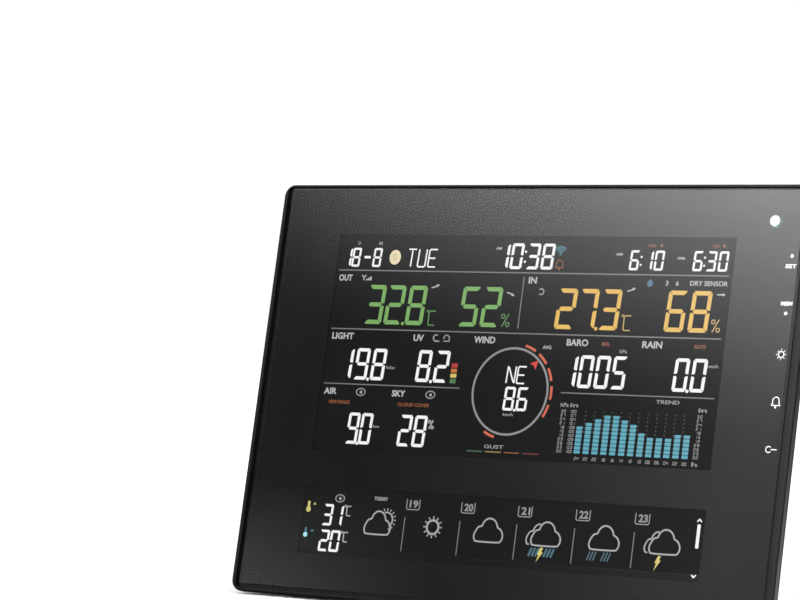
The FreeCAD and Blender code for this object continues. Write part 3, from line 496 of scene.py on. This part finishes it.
CLOCK_SMALL = (3.35, 6.5, 0.74)
CLOCK_LARGE = (4.6, 8.6, 0.98)
BLOCK = (5.3, 10.65, 1.12)
BLOCK_BARO = (5.0, 10.65, 1.12)
BLOCK_RAIN = (5.1, 10.65, 1.12)
BLOCK_AIR = (4.55, 10.5, 1.02)
BLOCK_SKY = (4.85, 10.5, 1.05)
DIAL_FIGURE = (4.0, 7.8, 0.86)
TEMPERATURE = (6.95, 13.3, 1.42)
FORECAST = (3.85, 7.2, 0.84)
SUN_TIMES_TOP = 19.7
BLOCK_TOP = 54.1
AIR_TOP = 75.9
TEMPERATURE_TOP = 32.5

white = Ink()
white.digits([("1", 23.4), ("8", 27.0), ("8", 35.5)], 19.9, *CLOCK_SMALL)
white.rect(32.1, 22.65, 34.6, 23.5, 0.2)
white.digits([("1", 84.4), ("0", 89.7), ("3", 96.0), ("8", 101.5)], 17.8, *CLOCK_LARGE)
for dot_y in (20.6, 23.9):
    white.disc(95.45, dot_y, 0.42, 12)
white.digits([("6", 134.5), ("1", 139.5), ("0", 143.5)], SUN_TIMES_TOP, *CLOCK_SMALL)
white.digits([("6", 157.5), ("3", 162.3), ("0", 166.5)], SUN_TIMES_TOP, *CLOCK_SMALL)
for dot_x in (138.75, 161.65):
    for dot_y in (21.8, 24.4):
        white.disc(dot_x, dot_y, 0.36, 12)
white.piece("clock_figures", WHITE)

light = Ink()
light.digits([("1", 27.4), ("9", 33.9), ("8", 40.6)], BLOCK_TOP, *BLOCK)
light.disc(39.85, 64.5, 0.55, 14)
light.digits([("8", 58.6), ("2", 65.6)], BLOCK_TOP, *BLOCK)
light.disc(64.9, 64.5, 0.55, 14)
light.piece("light_and_uv_figures", WHITE)

air = Ink()
air.digits([("9", 34.0), ("0", 39.2)], AIR_TOP, *BLOCK_AIR)
air.disc(38.95, 86.2, 0.5, 14)
air.digits([("2", 54.6), ("8", 60.4)], AIR_TOP, *BLOCK_SKY)
air.piece("air_and_sky_figures", WHITE)

wind = Ink()
wind.digits([("8", 93.8), ("6", 98.75)], 65.2, *DIAL_FIGURE)
wind.disc(98.4, 72.8, 0.45, 14)
wind.piece("wind_figures", WHITE)

baro = Ink()
baro.digits([("1", 114.7), ("0", 120.6), ("0", 126.7), ("5", 132.8)], BLOCK_TOP, *BLOCK_BARO)
baro.digits([("0", 155.1), ("0", 161.4)], BLOCK_TOP, *BLOCK_RAIN)
baro.disc(160.75, 64.5, 0.55, 14)
baro.piece("baro_and_rain_figures", WHITE)

outside = Ink()
outside.digits([("3", 35.2), ("2", 43.1), ("8", 51.6)], TEMPERATURE_TOP, *TEMPERATURE)
outside.disc(50.85, 45.4, 0.6, 16)
outside.digits([("5", 72.6), ("2", 81.0)], TEMPERATURE_TOP, *TEMPERATURE)
outside.piece("outdoor_figures", GREEN)

inside = Ink()
inside.digits([("2", 109.4), ("7", 117.4), ("3", 125.8)], TEMPERATURE_TOP, *TEMPERATURE)
inside.disc(125.1, 45.4, 0.6, 16)
inside.digits([("6", 149.7), ("8", 158.3)], TEMPERATURE_TOP, *TEMPERATURE)
inside.piece("indoor_figures", AMBER)

today = Ink()
today.digits([("3", 29.0), ("1", 33.1)], 106.9, *FORECAST)
today.digits([("2", 28.8), ("0", 33.1)], 115.5, *FORECAST)
today.piece("forecast_figures", WHITE)


def thin_letter(ink, paths, left, top, width, height, thick):
    """A letter of thin strokes. Paths are lists of (across, up) shares of its box."""
    for path in paths:
        line = [(left + width * a + height * b * SLOPE, top + height * (1 - b)) for a, b in path]
        ink.stroke(line, thick)


LETTER_T = [[(0, 1), (1, 1)], [(0.5, 0.93), (0.5, 0)]]
LETTER_U = [[(0, 1), (0, 0.08), (0.12, 0), (0.88, 0), (1, 0.08), (1, 1)]]
LETTER_E = [[(1, 1), (0.12, 1), (0, 0.92), (0, 0.08), (0.12, 0), (1, 0)], [(0.1, 0.5), (0.85, 0.5)]]
LETTER_N = [[(0, 0), (0, 1)], [(0.1, 0.95), (0.9, 0.05)], [(1, 0), (1, 1)]]

LETTER_W = 3.0
LETTER_LINE = 0.5

weekday = Ink()
for letter, left in ((LETTER_T, 49.5), (LETTER_U, 53.7), (LETTER_E, 57.8)):
    thin_letter(weekday, letter, left, 20.2, LETTER_W, 5.9, LETTER_LINE)
for letter, left in ((LETTER_N, 94.0), (LETTER_E, 97.9)):
    thin_letter(weekday, letter, left, 58.5, LETTER_W, 5.5, LETTER_LINE)
weekday.piece("weekday_and_compass_letters", WHITE)


# ---------------------------------------------------------------- display: rules and legends
# Each legend is its text and the box x0, x1, y0, y1 that it fills.

POST_HALF = 0.16     # half the width of the lines between the forecast days

rules = Ink()
rules.rect(22.4, 27.40, 170.9, 27.78)
rules.rect(22.4, 47.45, 170.6, 47.83)
rules.rect(22.4, 66.15, 76.5, 66.50)
rules.rect(115.1, 66.30, 170.6, 66.65)
rules.rect(95.75, 28.9, 96.10, 46.0)
for post in (61.8, 83.2, 104.8, 126.3, 148.0):
    rules.rect(post - POST_HALF, 109.6, post + POST_HALF, 120.9)
rules.piece("dividing_rules", GREY)

titles = Ink()
for text, x0, x1, y0, y1 in (
        ("OUT", 22.9, 28.3, 29.1, 31.3), ("IN", 97.8, 100.9, 28.9, 31.1),
        ("LIGHT", 23.2, 32.0, 48.95, 51.2), ("UV", 56.0, 60.0, 48.95, 51.2),
        ("WIND", 79.8, 87.9, 48.95, 51.2), ("BARO", 115.0, 123.0, 48.95, 51.2),
        ("RAIN", 142.8, 150.0, 48.95, 51.2), ("AIR", 22.9, 28.0, 67.8, 69.95),
        ("SKY", 50.3, 55.6, 67.8, 69.95)):
    titles.words(text, x0, x1, y0, y1, BOLD)
titles.piece("block_titles", SOFT_WHITE)

small = Ink()
for text, x0, x1, y0, y1 in (
        ("AM", 83.8, 86.0, 19.1, 20.0), ("AM", 129.3, 131.7, 20.6, 21.5),
        ("PM", 152.0, 154.4, 21.7, 22.6), ("3", 148.6, 149.6, 29.4, 31.0),
        ("6", 152.3, 153.3, 29.4, 31.0), ("AVG", 106.3, 109.5, 51.3, 52.5),
        ("DRY SENSOR", 157.4, 170.8, 29.3, 30.9), ("TODAY", 48.9, 54.2, 103.5, 104.7)):
    small.words(text, x0, x1, y0, y1, PLAIN)
small.piece("small_legends", SOFT_WHITE)

faint = Ink()
for text, x0, x1, y0, y1 in (
        ("D", 28.9, 29.9, 17.7, 18.9), ("M", 37.4, 38.7, 17.7, 18.9),
        ("klx", 46.8, 50.3, 59.8, 60.8), ("km", 44.6, 46.9, 79.7, 80.7),
        ("km/h", 94.3, 98.2, 73.8, 74.8), ("hPa", 134.9, 137.6, 51.9, 53.1),
        ("mm/h", 167.0, 170.7, 55.8, 56.9), ("GUST", 88.7, 96.1, 84.4, 85.6),
        ("TREND", 150.2, 158.6, 67.6, 68.8), ("h", 165.3, 167.3, 86.7, 88.1)):
    faint.words(text, x0, x1, y0, y1, PLAIN)
faint.piece("unit_legends", DIM_WHITE)

notes = Ink()
for text, x0, x1, y0, y1 in (
        ("REL", 128.1, 131.1, 49.7, 50.9), ("RATE", 161.6, 165.6, 49.7, 50.9),
        ("VIEW RANGE", 25.3, 33.8, 71.9, 73.1), ("CLOUD COVER", 53.2, 65.6, 71.9, 73.1),
        ("SUN", 140.9, 143.6, 17.6, 18.6), ("SUN", 164.0, 166.4, 17.6, 18.6)):
    notes.words(text, x0, x1, y0, y1, PLAIN)
notes.disc(145.6, 18.0, 0.5, 10)
notes.disc(168.1, 18.0, 0.5, 10)
notes.piece("orange_legends", ORANGE)

UNIT_STROKE = 0.36


def degree_c(ink, x, y, width, height):
    """A degree ring and a thin C in the box from x, y."""
    ink.ring(x + 0.36, y + 0.36, 0.34, 0.22, 12)
    c = 0.35     # the letter's cut corners
    left, right, top, foot = x + 1.0, x + width, y + c, y + height
    ink.stroke([
        (right, top), (left + c, top), (left, top + c),
        (left, foot - c), (left + c, foot), (right, foot),
    ], UNIT_STROKE)


def percent(ink, x, y, width, height):
    """A thin percent sign in the box from x, y."""
    ring = width * 0.2
    ink.stroke([(x + width * 0.84, y), (x + width * 0.16, y + height)], UNIT_STROKE)
    ink.ring(x + ring, y + ring * 1.2, ring, UNIT_STROKE * 0.9, 14)
    ink.ring(x + width - ring, y + height - ring * 1.2, ring, UNIT_STROKE * 0.9, 14)


units_green = Ink()
degree_c(units_green, 59.9, 40.6, 3.5, 5.1)
percent(units_green, 89.1, 41.3, 3.3, 4.3)
units_green.piece("outdoor_units", lit("units_green", (0.13, 0.32, 0.11), 1.0))

units_amber = Ink()
degree_c(units_amber, 134.1, 40.6, 3.5, 5.1)
percent(units_amber, 166.6, 41.5, 3.1, 4.1)
units_amber.piece("indoor_units", lit("units_amber", (0.62, 0.42, 0.14), 1.0))

units_white = Ink()
degree_c(units_white, 37.5, 106.9, 2.6, 3.5)
degree_c(units_white, 37.5, 115.6, 2.6, 3.5)
percent(units_white, 66.2, 77.3, 2.1, 2.9)
units_white.piece("forecast_units", SOFT_WHITE)


# ---------------------------------------------------------------- display: small pictures

SMOOTH_STEPS = 4


def smooth(points):
    """A closed Catmull-Rom curve through the points."""
    result = []
    count = len(points)
    for i in range(count):
        p = [Vector(points[(i + k) % count]) for k in (-1, 0, 1, 2)]
        for j in range(SMOOTH_STEPS):
            t = j / SMOOTH_STEPS
            q = 0.5 * ((2 * p[1]) + (p[2] - p[0]) * t + (2 * p[0] - 5 * p[1] + 4 * p[2] - p[3]) * t * t
                       + (3 * p[1] - 3 * p[2] + p[0] * -1 + p[3]) * t * t * t)
            result.append((q.x, q.y))
    return result


CLOUD = [(0.14, 1.0), (0.03, 0.92), (0.0, 0.74), (0.06, 0.53), (0.14, 0.38), (0.25, 0.33), (0.30, 0.17),
         (0.41, 0.03), (0.54, 0.0), (0.67, 0.07), (0.76, 0.22), (0.80, 0.36), (0.91, 0.45), (0.99, 0.62),
         (1.0, 0.80), (0.95, 0.94), (0.84, 1.0)]


def cloud(ink, x, y, width, height, line, first=0, last=None):
    """A cloud's outline in the box from x, y, or the stretch of it from point first to last."""
    outline = [(x + width * a, y + height * b) for a, b in CLOUD]
    if last is None:
        ink.stroke(smooth(outline), line, closed=True)
    else:
        ink.stroke(smooth(outline)[first * SMOOTH_STEPS:last * SMOOTH_STEPS + 1], line)


CLOUD_LINE = 0.52
CLOUD_W = 10.8
CLOUD_H = 7.6
CLOUD_Y = 108.25

HIDDEN_SUN = (54.6, 110.9)
FULL_SUN = (73.0, 112.3)

sky_icons = Ink()
cloud(sky_icons, 46.3, CLOUD_Y, 10.2, CLOUD_H, CLOUD_LINE)
sky_icons.stroke(arc(*HIDDEN_SUN, 2.45, -112, 58, 14), 0.5)
sky_icons.rays(*HIDDEN_SUN, range(-110, 70, 22), 3.0, 3.8, 0.36)
sky_icons.ring(*FULL_SUN, 2.25, 0.72, 32)
sky_icons.rays(*FULL_SUN, range(0, 360, 30), 2.75, 3.6, 0.42)
for left in (89.1, 110.7, 132.1, 153.8):
    cloud(sky_icons, left, CLOUD_Y, CLOUD_W, CLOUD_H, CLOUD_LINE)
for left in (108.9, 152.1):
    cloud(sky_icons, left, CLOUD_Y + 0.8, 9.0, 6.6, 0.46, 0, 8)
sky_icons.piece("forecast_clouds", lit("outline_white", (0.42, 0.42, 0.43), 1.0))

day_boxes = Ink()
for text, left in (("19", 61.7), ("20", 83.0), ("21", 104.6), ("22", 126.1), ("23", 147.6)):
    day_boxes.words(text, left + 1.3, left + 4.6, 103.9, 106.4, BOLD)
    day_boxes.stroke([(left + 0.2, 103.6), (left + 0.2, 106.6), (left + 0.6, 107.0), (left + 4.8, 107.0),
                      (left + 5.2, 106.6), (left + 5.2, 103.6)], 0.32)
day_boxes.piece("forecast_days", DIM_WHITE)

rain = Ink()
for start in (110.9, 112.2, 113.5, 116.5, 117.8, 119.1):
    rain.stroke([(start + 0.5, 116.7), (start - 0.5, 119.4)], 0.75)
rain.piece("heavy_rain", lit("rain_blue", (0.055, 0.15, 0.20), 1.0))

shower = Ink()
for start in (132.4, 133.5, 134.6, 137.6, 138.7, 139.8):
    shower.stroke([(start + 0.5, 116.6), (start - 0.5, 119.4)], 0.42)
shower.piece("shower", lit("shower_blue", (0.07, 0.15, 0.20), 1.0))

bolts = Ink()
for bx in (114.5, 157.3):
    bolts.fill([(bx + 0.1, 116.5), (bx + 1.1, 116.5), (bx + 0.5, 117.9), (bx + 1.2, 117.9), (bx - 1.1, 121.2),
                (bx - 0.3, 118.8), (bx - 1.0, 118.8)])
bolts.piece("lightning_bolts", YELLOW)

scroll = Ink()
scroll.rect(169.95, 105.9, 171.05, 113.4, 0.2)
scroll.stroke([(169.7, 105.1), (170.5, 104.3), (171.3, 105.1)], 0.42)
scroll.stroke([(169.7, 121.6), (170.5, 122.4), (171.3, 121.6)], 0.42)
scroll.piece("scroll_bar", WHITE)

warm = Ink()
warm.stroke([(23.0, 106.3), (23.0, 108.8)], 0.95)
warm.disc(23.0, 109.0, 0.95, 18)
warm.fill([(24.7, 107.4), (25.3, 106.6), (25.9, 107.4)])
warm.piece("high_thermometer", lit("thermometer_yellow", (0.70, 0.62, 0.20), 1.0))

cold = Ink()
cold.stroke([(23.0, 115.1), (23.0, 116.8)], 0.7)
cold.fill([(24.9, 115.8), (26.3, 115.8), (25.6, 116.7)])
cold.piece("low_thermometer_tube", TEAL)
bulb = Ink()
bulb.disc(23.05, 117.5, 0.85, 18)
bulb.piece("low_thermometer_bulb", PALE_CYAN)

MOON = (44.5, 23.0)
moon = Ink()
moon.disc(*MOON, 2.25, 32, 1.12)
moon.piece("moon", PALE_YELLOW)
moon_mark = Ink(FACE - 0.03, FACE)
moon_mark.stroke(oval(*MOON, 0.55, 1.0, 20), 0.25, closed=True)
moon_mark.piece("moon_mark", lit("moon_shade", (0.55, 0.42, 0.22), 1.0))

marks = Ink()
for ex, ey in ((37.8, 68.9), (65.5, 68.9), (35.2, 104.8)):
    marks.stroke(oval(ex, ey, 1.75, 1.2, 24), 0.34, closed=True)
    marks.disc(ex + 0.1, ey + 0.05, 0.55, 12)
marks.stroke(arc(64.9, 49.9, 1.05, 60, 300, 12), 0.42)
marks.stroke([(64.4, 51.0), (66.3, 51.0)], 0.42)
marks.stroke(arc(69.0, 50.0, 1.1, 170, 370, 10) + [(70.1, 50.9), (67.9, 50.9)], 0.36)
marks.stroke(arc(103.1, 33.7, 0.95, -140, 130, 14), 0.42)
marks.piece("comfort_and_view_marks", lit("marks_grey", (0.36, 0.365, 0.37), 1.0))


def trend(ink, x, y, tilt):
    """A curved arrow about 3 mm long, rising for a positive tilt."""
    line = [(x - 1.5 + 2.2 * t / 6, y + tilt * (0.5 - (t / 6) ** 2)) for t in range(7)]
    ink.stroke(line, 0.42)
    tip = Vector((x + 1.6, y - tilt * 0.95))
    along = (tip - Vector(line[-1])).normalized()
    side = Vector((-along.y, along.x)) * 0.55
    base = tip - along * 1.2
    ink.fill([tuple(tip), tuple(base + side), tuple(base - side)])


trends = Ink()
trend(trends, 62.1, 32.7, 0.7)
trend(trends, 91.6, 34.6, -0.7)
trend(trends, 136.5, 32.6, 0.7)
trend(trends, 168.9, 33.6, 0.0)
trends.stroke([(32.1, 29.2), (33.0, 30.0), (33.0, 31.0)], 0.36)
trends.stroke([(33.9, 29.2), (33.0, 30.0)], 0.36)
for bar, bar_h in enumerate((0.5, 0.9, 1.3)):
    trends.rect(33.9 + 0.8 * bar, 31.0 - bar_h, 34.5 + 0.8 * bar, 31.0)
trends.piece("trend_arrows_and_signal", SOFT_WHITE)

wifi = Ink()
for reach in (0.9, 1.7, 2.5):
    wifi.stroke(arc(108.6, 21.3, reach, -140, -40, 8), 0.5)
wifi.disc(108.6, 21.3, 0.42, 12)
wifi.piece("wifi_mark", TEAL)

drop = Ink()
drop.fill([(143.0, 28.9)] + arc(143.0, 30.4, 1.05, -35, 215, 14))
drop.piece("drop_mark", BLUE)

bell = Ink()
bell.stroke([(107.2, 25.7), (107.5, 25.2), (107.5, 24.4)] + arc(108.7, 24.4, 1.2, 180, 360, 10)
            + [(109.9, 25.2), (110.2, 25.7), (107.2, 25.7)], 0.32)
bell.disc(108.7, 26.2, 0.35, 10)
bell.piece("alarm_bell", ORANGE)

for name, colour, y0, y1 in (
        ("uv_low", (0.07, 0.20, 0.07), 63.3, 64.8),
        ("uv_mid", (0.72, 0.56, 0.13), 61.6, 62.9),
        ("uv_high", (0.60, 0.18, 0.035), 60.0, 61.2),
        ("uv_peak", (0.48, 0.035, 0.025), 58.2, 59.6)):
    level = Ink()
    level.rect(72.35, y0, 74.65, y1, 0.15)
    level.piece(name, lit(name, colour, 1.0))


# ---------------------------------------------------------------- display: wind dial

DIAL = (95.9, 66.7)
DIAL_R = 14.15
ARC_R = 15.6
ARC_HALF = 8.0       # degrees either side of a bearing
POINTER_BEARING = 42

dial = Ink()
dial.ring(*DIAL, DIAL_R, 0.72, 128)
dial.piece("wind_ring", lit("ring_grey", (0.27, 0.275, 0.28), 1.0))

arcs = Ink()
for bearing in (22.5, 45.0, 67.5, 90.0, 112.5, 202.5):
    arcs.stroke(arc(*DIAL, ARC_R, bearing - 90.0 - ARC_HALF, bearing - 90.0 + ARC_HALF, 10), 0.85)
arcs.piece("wind_arcs", VERMILION)

pointer = Ink()
aim = Vector((math.sin(math.radians(POINTER_BEARING)), -math.cos(math.radians(POINTER_BEARING))))
wing = Vector((-aim.y, aim.x)) * 1.5
hub = Vector(DIAL)
tail = hub + aim * 11.2
pointer.fill([tuple(hub + aim * 14.0), tuple(tail + wing), tuple(hub + aim * 11.7), tuple(tail - wing)])
pointer.piece("wind_pointer", RED)

for name, colour, x0, x1 in (
        ("legend_calm", (0.05, 0.14, 0.06), 82.3, 88.2),
        ("legend_breeze", (0.26, 0.21, 0.05), 89.3, 95.4),
        ("legend_strong", (0.24, 0.07, 0.02), 96.5, 102.2),
        ("legend_gale", (0.13, 0.015, 0.012), 103.6, 109.7)):
    line = Ink()
    line.rect(x0, 86.5, x1, 86.9)
    line.piece(name, lit(name, colour, 1.0))


# ---------------------------------------------------------------- display: pressure chart

BAR_LEVELS = (7, 8, 9, 10, 10, 9, 8, 6, 5, 5, 5, 6, 6)
BAR_X = 123.6
BAR_STEP = 3.25
BAR_FOOT = 85.8
LEVEL_STEP = 1.29
CHART_TOP = 71.9
DOT_STEP = 1.3

bars = Ink()
gaps = Ink()
dots = Ink()
for i, levels in enumerate(BAR_LEVELS):
    middle = BAR_X + BAR_STEP * i
    for k in range(levels):
        foot = BAR_FOOT - LEVEL_STEP * k
        bars.rect(middle - 1.1, foot - 0.92, middle + 1.1, foot, 0.12)
        if k < levels - 1:
            gaps.rect(middle - 1.0, foot - LEVEL_STEP + 0.04, middle + 1.0, foot - 0.96)
    for k in range(6):
        if i < len(BAR_LEVELS) - 1:
            dots.rect(middle + 1.5, 72.0 + DOT_STEP * k, middle + 1.78, 72.45 + DOT_STEP * k)
bars.piece("chart_bars", CYAN)
gaps.piece("chart_bar_gaps", CYAN_DEEP)
dots.piece("chart_dots", lit("dots_grey", (0.09, 0.09, 0.09), 0.9))

scale = Ink()
for row in range(11):
    top = CHART_TOP + LEVEL_STEP * row
    level = "%02d" % (30 - 3 * row if row < 10 else 0)
    scale.digits([(level[0], 116.0), (level[1], 117.1)], top, 0.75, 0.95, 0.2)
    scale.digits([("1", 119.2), ("0", 120.1), (level[1], 121.0)], top, 0.7, 0.95, 0.2)
    scale.digits([(level[0], 165.4), (level[1], 166.5)], top, 0.75, 0.95, 0.2)
for i in range(len(BAR_LEVELS)):
    hours = "%02d" % (24 - 2 * i)
    middle = BAR_X + BAR_STEP * i
    scale.digits([(hours[0], middle - 0.8), (hours[1], middle + 0.1)], 86.9, 0.75, 1.05, 0.2)
for x0, x1 in ((115.6, 118.6), (119.2, 122.1), (165.6, 168.6)):
    scale.words("hPa" if x0 < 119 else "in", x0, x1, 69.7, 71.0, PLAIN)
scale.piece("chart_scale", lit("scale_grey", (0.30, 0.30, 0.30), 1.0))


# ---------------------------------------------------------------- touch-key marks on the back of the lens

KEY_X = 192.3
keys = Ink(PRINT_FACE, PRINT_BACK)
keys.disc(KEY_X, 21.0, 0.55, 16)
keys.words("SET", 190.4, 194.2, 23.6, 24.9, PLAIN)
keys.words("MEM", 190.3, 194.2, 35.4, 36.7, PLAIN)
keys.disc(KEY_X, 39.1, 0.55, 16)
keys.ring(KEY_X, 52.0, 0.95, 0.3, 20)
keys.rays(KEY_X, 52.0, range(0, 360, 45), 1.3, 1.75, 0.26)
keys.stroke([(190.8, 67.9), (191.2, 67.2), (191.2, 66.4)] + arc(KEY_X, 66.4, 1.1, 180, 360, 10)
            + [(193.4, 67.2), (193.8, 67.9), (190.8, 67.9)], 0.28)
keys.disc(KEY_X, 68.5, 0.35, 10)
keys.stroke(arc(191.6, 81.6, 0.95, 40, 320, 14), 0.28)
keys.stroke([(192.4, 81.6), (194.4, 81.6)], 0.3)
keys.piece("touch_key_marks", PRINT, "black_print")

# Black tape bridges the front glass's lower edge and hides the contact ledge under it.

LEDGE_TAPE = surface("ledge_tape", (0.003, 0.003, 0.003), 0.4, specular=0.1, tone=0.1)
TAPE_FACE = 2.46
TAPE_BACK = 2.58
ledge = Ink(TAPE_FACE, TAPE_BACK)
ledge.rect(19.3, 121.65, 174.7, 125.9)
ledge.piece("ledge_tape", LEDGE_TAPE, "black_print")

# The light sensor looks out through a grey spot.

SENSOR_GREY = surface("sensor_window", (0.10, 0.10, 0.105), 0.35, tone=0.1)
sensor_window = Ink(PRINT_FACE, PRINT_BACK)
sensor_window.disc(185.0, 9.9, 1.75, 32)
sensor_window.piece("light_sensor_window", SENSOR_GREY, "black_print")


# ---------------------------------------------------------------- floor, background and lights

def sheet(name, corners, material):
    """A flat four-cornered sheet."""
    mesh = bpy.data.meshes.new(name)
    mesh.from_pydata(corners, [], [(0, 1, 2, 3)])
    mesh.materials.append(material)
    made = bpy.data.objects.new(name, mesh)
    bpy.context.scene.collection.objects.link(made)
    return made


FLOOR_PAPER = surface("floor_paper", (0.93, 0.93, 0.93), 0.7, specular=0.1, tone=0.005, tone_scale=3.0,
                      grain=400.0)
REACH = 8.0
floor = sheet("floor", [(-REACH, -REACH, 0), (REACH, -REACH, 0), (REACH, REACH, 0), (-REACH, REACH, 0)],
              FLOOR_PAPER)

ROOM_WHITE = 1.09
world = bpy.data.worlds.new("studio")
world.use_nodes = True
world.node_tree.nodes["Background"].inputs["Color"].default_value = (1.0, 1.0, 1.0, 1.0)
world.node_tree.nodes["Background"].inputs["Strength"].default_value = ROOM_WHITE
bpy.context.scene.world = world
bpy.context.scene.view_settings.view_transform = "Standard"


def softbox(name, location, target, size, power):
    """A rectangular lamp that faces the target."""
    data = bpy.data.lights.new(name, "AREA")
    data.shape = "RECTANGLE"
    data.size, data.size_y = size
    data.energy = power
    lamp = bpy.data.objects.new(name, data)
    lamp.location = location
    lamp.rotation_euler = (Vector(target) - Vector(location)).to_track_quat("-Z", "Y").to_euler()
    bpy.context.scene.collection.objects.link(lamp)
    return lamp


STRIP_X, STRIP_Y, STRIP_AWAY = 192.0, 68.0, 90.0   # in front of the lens's right margin

softbox("overhead", (0.1, -0.1, 1.8), (0, 0, 0), (1.6, 1.6), 6.0)
softbox("rear_fill", (-0.6, 1.1, 0.9), (0, 0, 0.06), (0.8, 0.8), 6.0)
strip = softbox("right_strip", at(STRIP_X, STRIP_Y, -STRIP_AWAY), at(STRIP_X, STRIP_Y), (0.02, 0.4), 2.3)
strip.visible_camera = False
strip.visible_glossy = False


def reflection_only(made):
    """Keeps a card for reflections: it lights nothing, and only glossy surfaces see it."""
    made.visible_camera = False
    made.visible_diffuse = False
    made.visible_shadow = False
    made.visible_transmission = False


# ---------------------------------------------------------------- graded card
# It stands parallel to the lens, where the lens mirrors it to the camera. Its pattern is in panel
# millimetres: bright above and to the right, dark at the middle left, and fading into the white
# room towards its edges.

CARD_AWAY = 1.2
CARD_LEFT, CARD_RIGHT, CARD_TOP, CARD_FOOT = -300.0, 420.0, -45.0, 330.0
FADE_LEFT, FADE_RIGHT, FADE_TOP, FADE_FOOT = -15.0, 225.0, -12.0, 150.0   # where the fading starts
PLATEAU_X = 215.0               # the pattern stays as it is beyond these
PLATEAU_Y = -12.0
SHADE_FOOT = 44.0               # how far down the bright top reaches, at the left edge
SHADE_SLANT = 0.24              # and how much further for each millimetre to the right
SHADE_POWER = 1.9
TOP_LEFT_GLOW = 0.90
GLOW_SLANT = 0.0270
CORNER_W = 75.0                 # the lighter lower left corner
CORNER_Y = 100.0
CORNER_H = 36.0
CORNER_LIMIT = 1.1
CORNER_GLOW = 0.95
BASE_GLOW = 0.03

camera_height = (camera.location - lens_middle).dot(-INWARD)
CARD_GROWTH = 1 + CARD_AWAY / camera_height
mirrored = camera.location + INWARD * (2 * camera_height)


def on_card(x, y):
    """The point of the card that the lens shows to the camera at x, y."""
    return mirrored + (at(x, y) - mirrored) * CARD_GROWTH


card_material, tree, output = new_material("graded_card")


def number(operation, *values):
    """A math node on numbers or sockets."""
    node = tree.nodes.new("ShaderNodeMath")
    node.operation = operation
    for i, value in enumerate(values):
        if isinstance(value, (int, float)):
            node.inputs[i].default_value = value
        else:
            tree.links.new(value, node.inputs[i])
    return node.outputs[0]


def clamped(value, high):
    """The value, kept between 0 and high."""
    return number("MINIMUM", number("MAXIMUM", value, 0.0), high)


def beyond(value, start, end):
    """0 at start, 1 at end, and past both in a straight line."""
    if end > start:
        return number("DIVIDE", number("SUBTRACT", value, start), end - start)
    return number("DIVIDE", number("SUBTRACT", start, value), start - end)


place = tree.nodes.new("ShaderNodeUVMap")
place.uv_map = "panel"
split = tree.nodes.new("ShaderNodeSeparateXYZ")
tree.links.new(place.outputs["UV"], split.inputs["Vector"])
across, down = split.outputs["X"], split.outputs["Y"]
card_x = number("MINIMUM", across, PLATEAU_X)
card_y = number("MAXIMUM", down, PLATEAU_Y)
shade_foot = number("MULTIPLY_ADD", card_x, SHADE_SLANT, SHADE_FOOT)
height_left = number("SUBTRACT", 1.0, number("DIVIDE", card_y, shade_foot))
rise = number("POWER", number("MAXIMUM", height_left, 0.0), SHADE_POWER)
slant = number("MAXIMUM", number("MULTIPLY_ADD", card_x, GLOW_SLANT, TOP_LEFT_GLOW), 0.0)
corner_x = clamped(number("SUBTRACT", 1.0, number("DIVIDE", card_x, CORNER_W)), CORNER_LIMIT)
corner_y = clamped(beyond(card_y, CORNER_Y, CORNER_Y + CORNER_H), CORNER_LIMIT)
corner_glow = number("MULTIPLY", number("MULTIPLY", corner_x, corner_y), CORNER_GLOW)
glow = number("ADD", number("MULTIPLY", rise, slant), corner_glow)
pattern = number("ADD", glow, BASE_GLOW)

fade = 0.0
for edge in (beyond(across, FADE_RIGHT, CARD_RIGHT), beyond(across, FADE_LEFT, CARD_LEFT),
             beyond(down, FADE_TOP, CARD_TOP), beyond(down, FADE_FOOT, CARD_FOOT)):
    fade = number("MAXIMUM", edge, fade)
fade = number("MINIMUM", fade, 1.0)
strength = number("MULTIPLY_ADD", fade, number("SUBTRACT", ROOM_WHITE, pattern), pattern)
emission = tree.nodes.new("ShaderNodeEmission")
tree.links.new(strength, emission.inputs["Strength"])
tree.links.new(emission.outputs["Emission"], output.inputs["Surface"])
card_material.cycles.emission_sampling = "NONE"

card_corners = [
    (CARD_LEFT, CARD_TOP), (CARD_RIGHT, CARD_TOP),
    (CARD_RIGHT, CARD_FOOT), (CARD_LEFT, CARD_FOOT),
]
card = sheet("graded_card", [on_card(x, y) for x, y in card_corners], card_material)
for loop, corner in zip(card.data.uv_layers.new(name="panel").data, card_corners):
    loop.uv = corner
reflection_only(card)


# ---------------------------------------------------------------- dark flags
# Black studio cards beside, behind and in front of the console keep its rims dark.

FLAG = surface("dark_flag", (0.02, 0.02, 0.02), 0.9, specular=0.0)
FLAG_X = 1.3
FLAG_REAR_Y = 0.9
TABLE_HALF = 0.5
TABLE_FRONT_Y = -0.75
TABLE_Z = 0.001

reflection_only(sheet("dark_flag_right", [
    (FLAG_X, -1.9, 0.0), (FLAG_X, 3.4, 0.0), (FLAG_X, 3.4, 1.5), (FLAG_X, -1.9, 1.5),
], FLAG))
reflection_only(sheet("dark_flag_rear", [
    (-1.6, FLAG_REAR_Y, 0.0), (FLAG_X, FLAG_REAR_Y, 0.0),
    (FLAG_X, FLAG_REAR_Y, 1.3), (-1.6, FLAG_REAR_Y, 1.3),
], FLAG))
reflection_only(sheet("dark_flag_table", [
    (-TABLE_HALF, TABLE_FRONT_Y, TABLE_Z), (TABLE_HALF, TABLE_FRONT_Y, TABLE_Z),
    (TABLE_HALF, 0.0, TABLE_Z), (-TABLE_HALF, 0.0, TABLE_Z),
], FLAG))
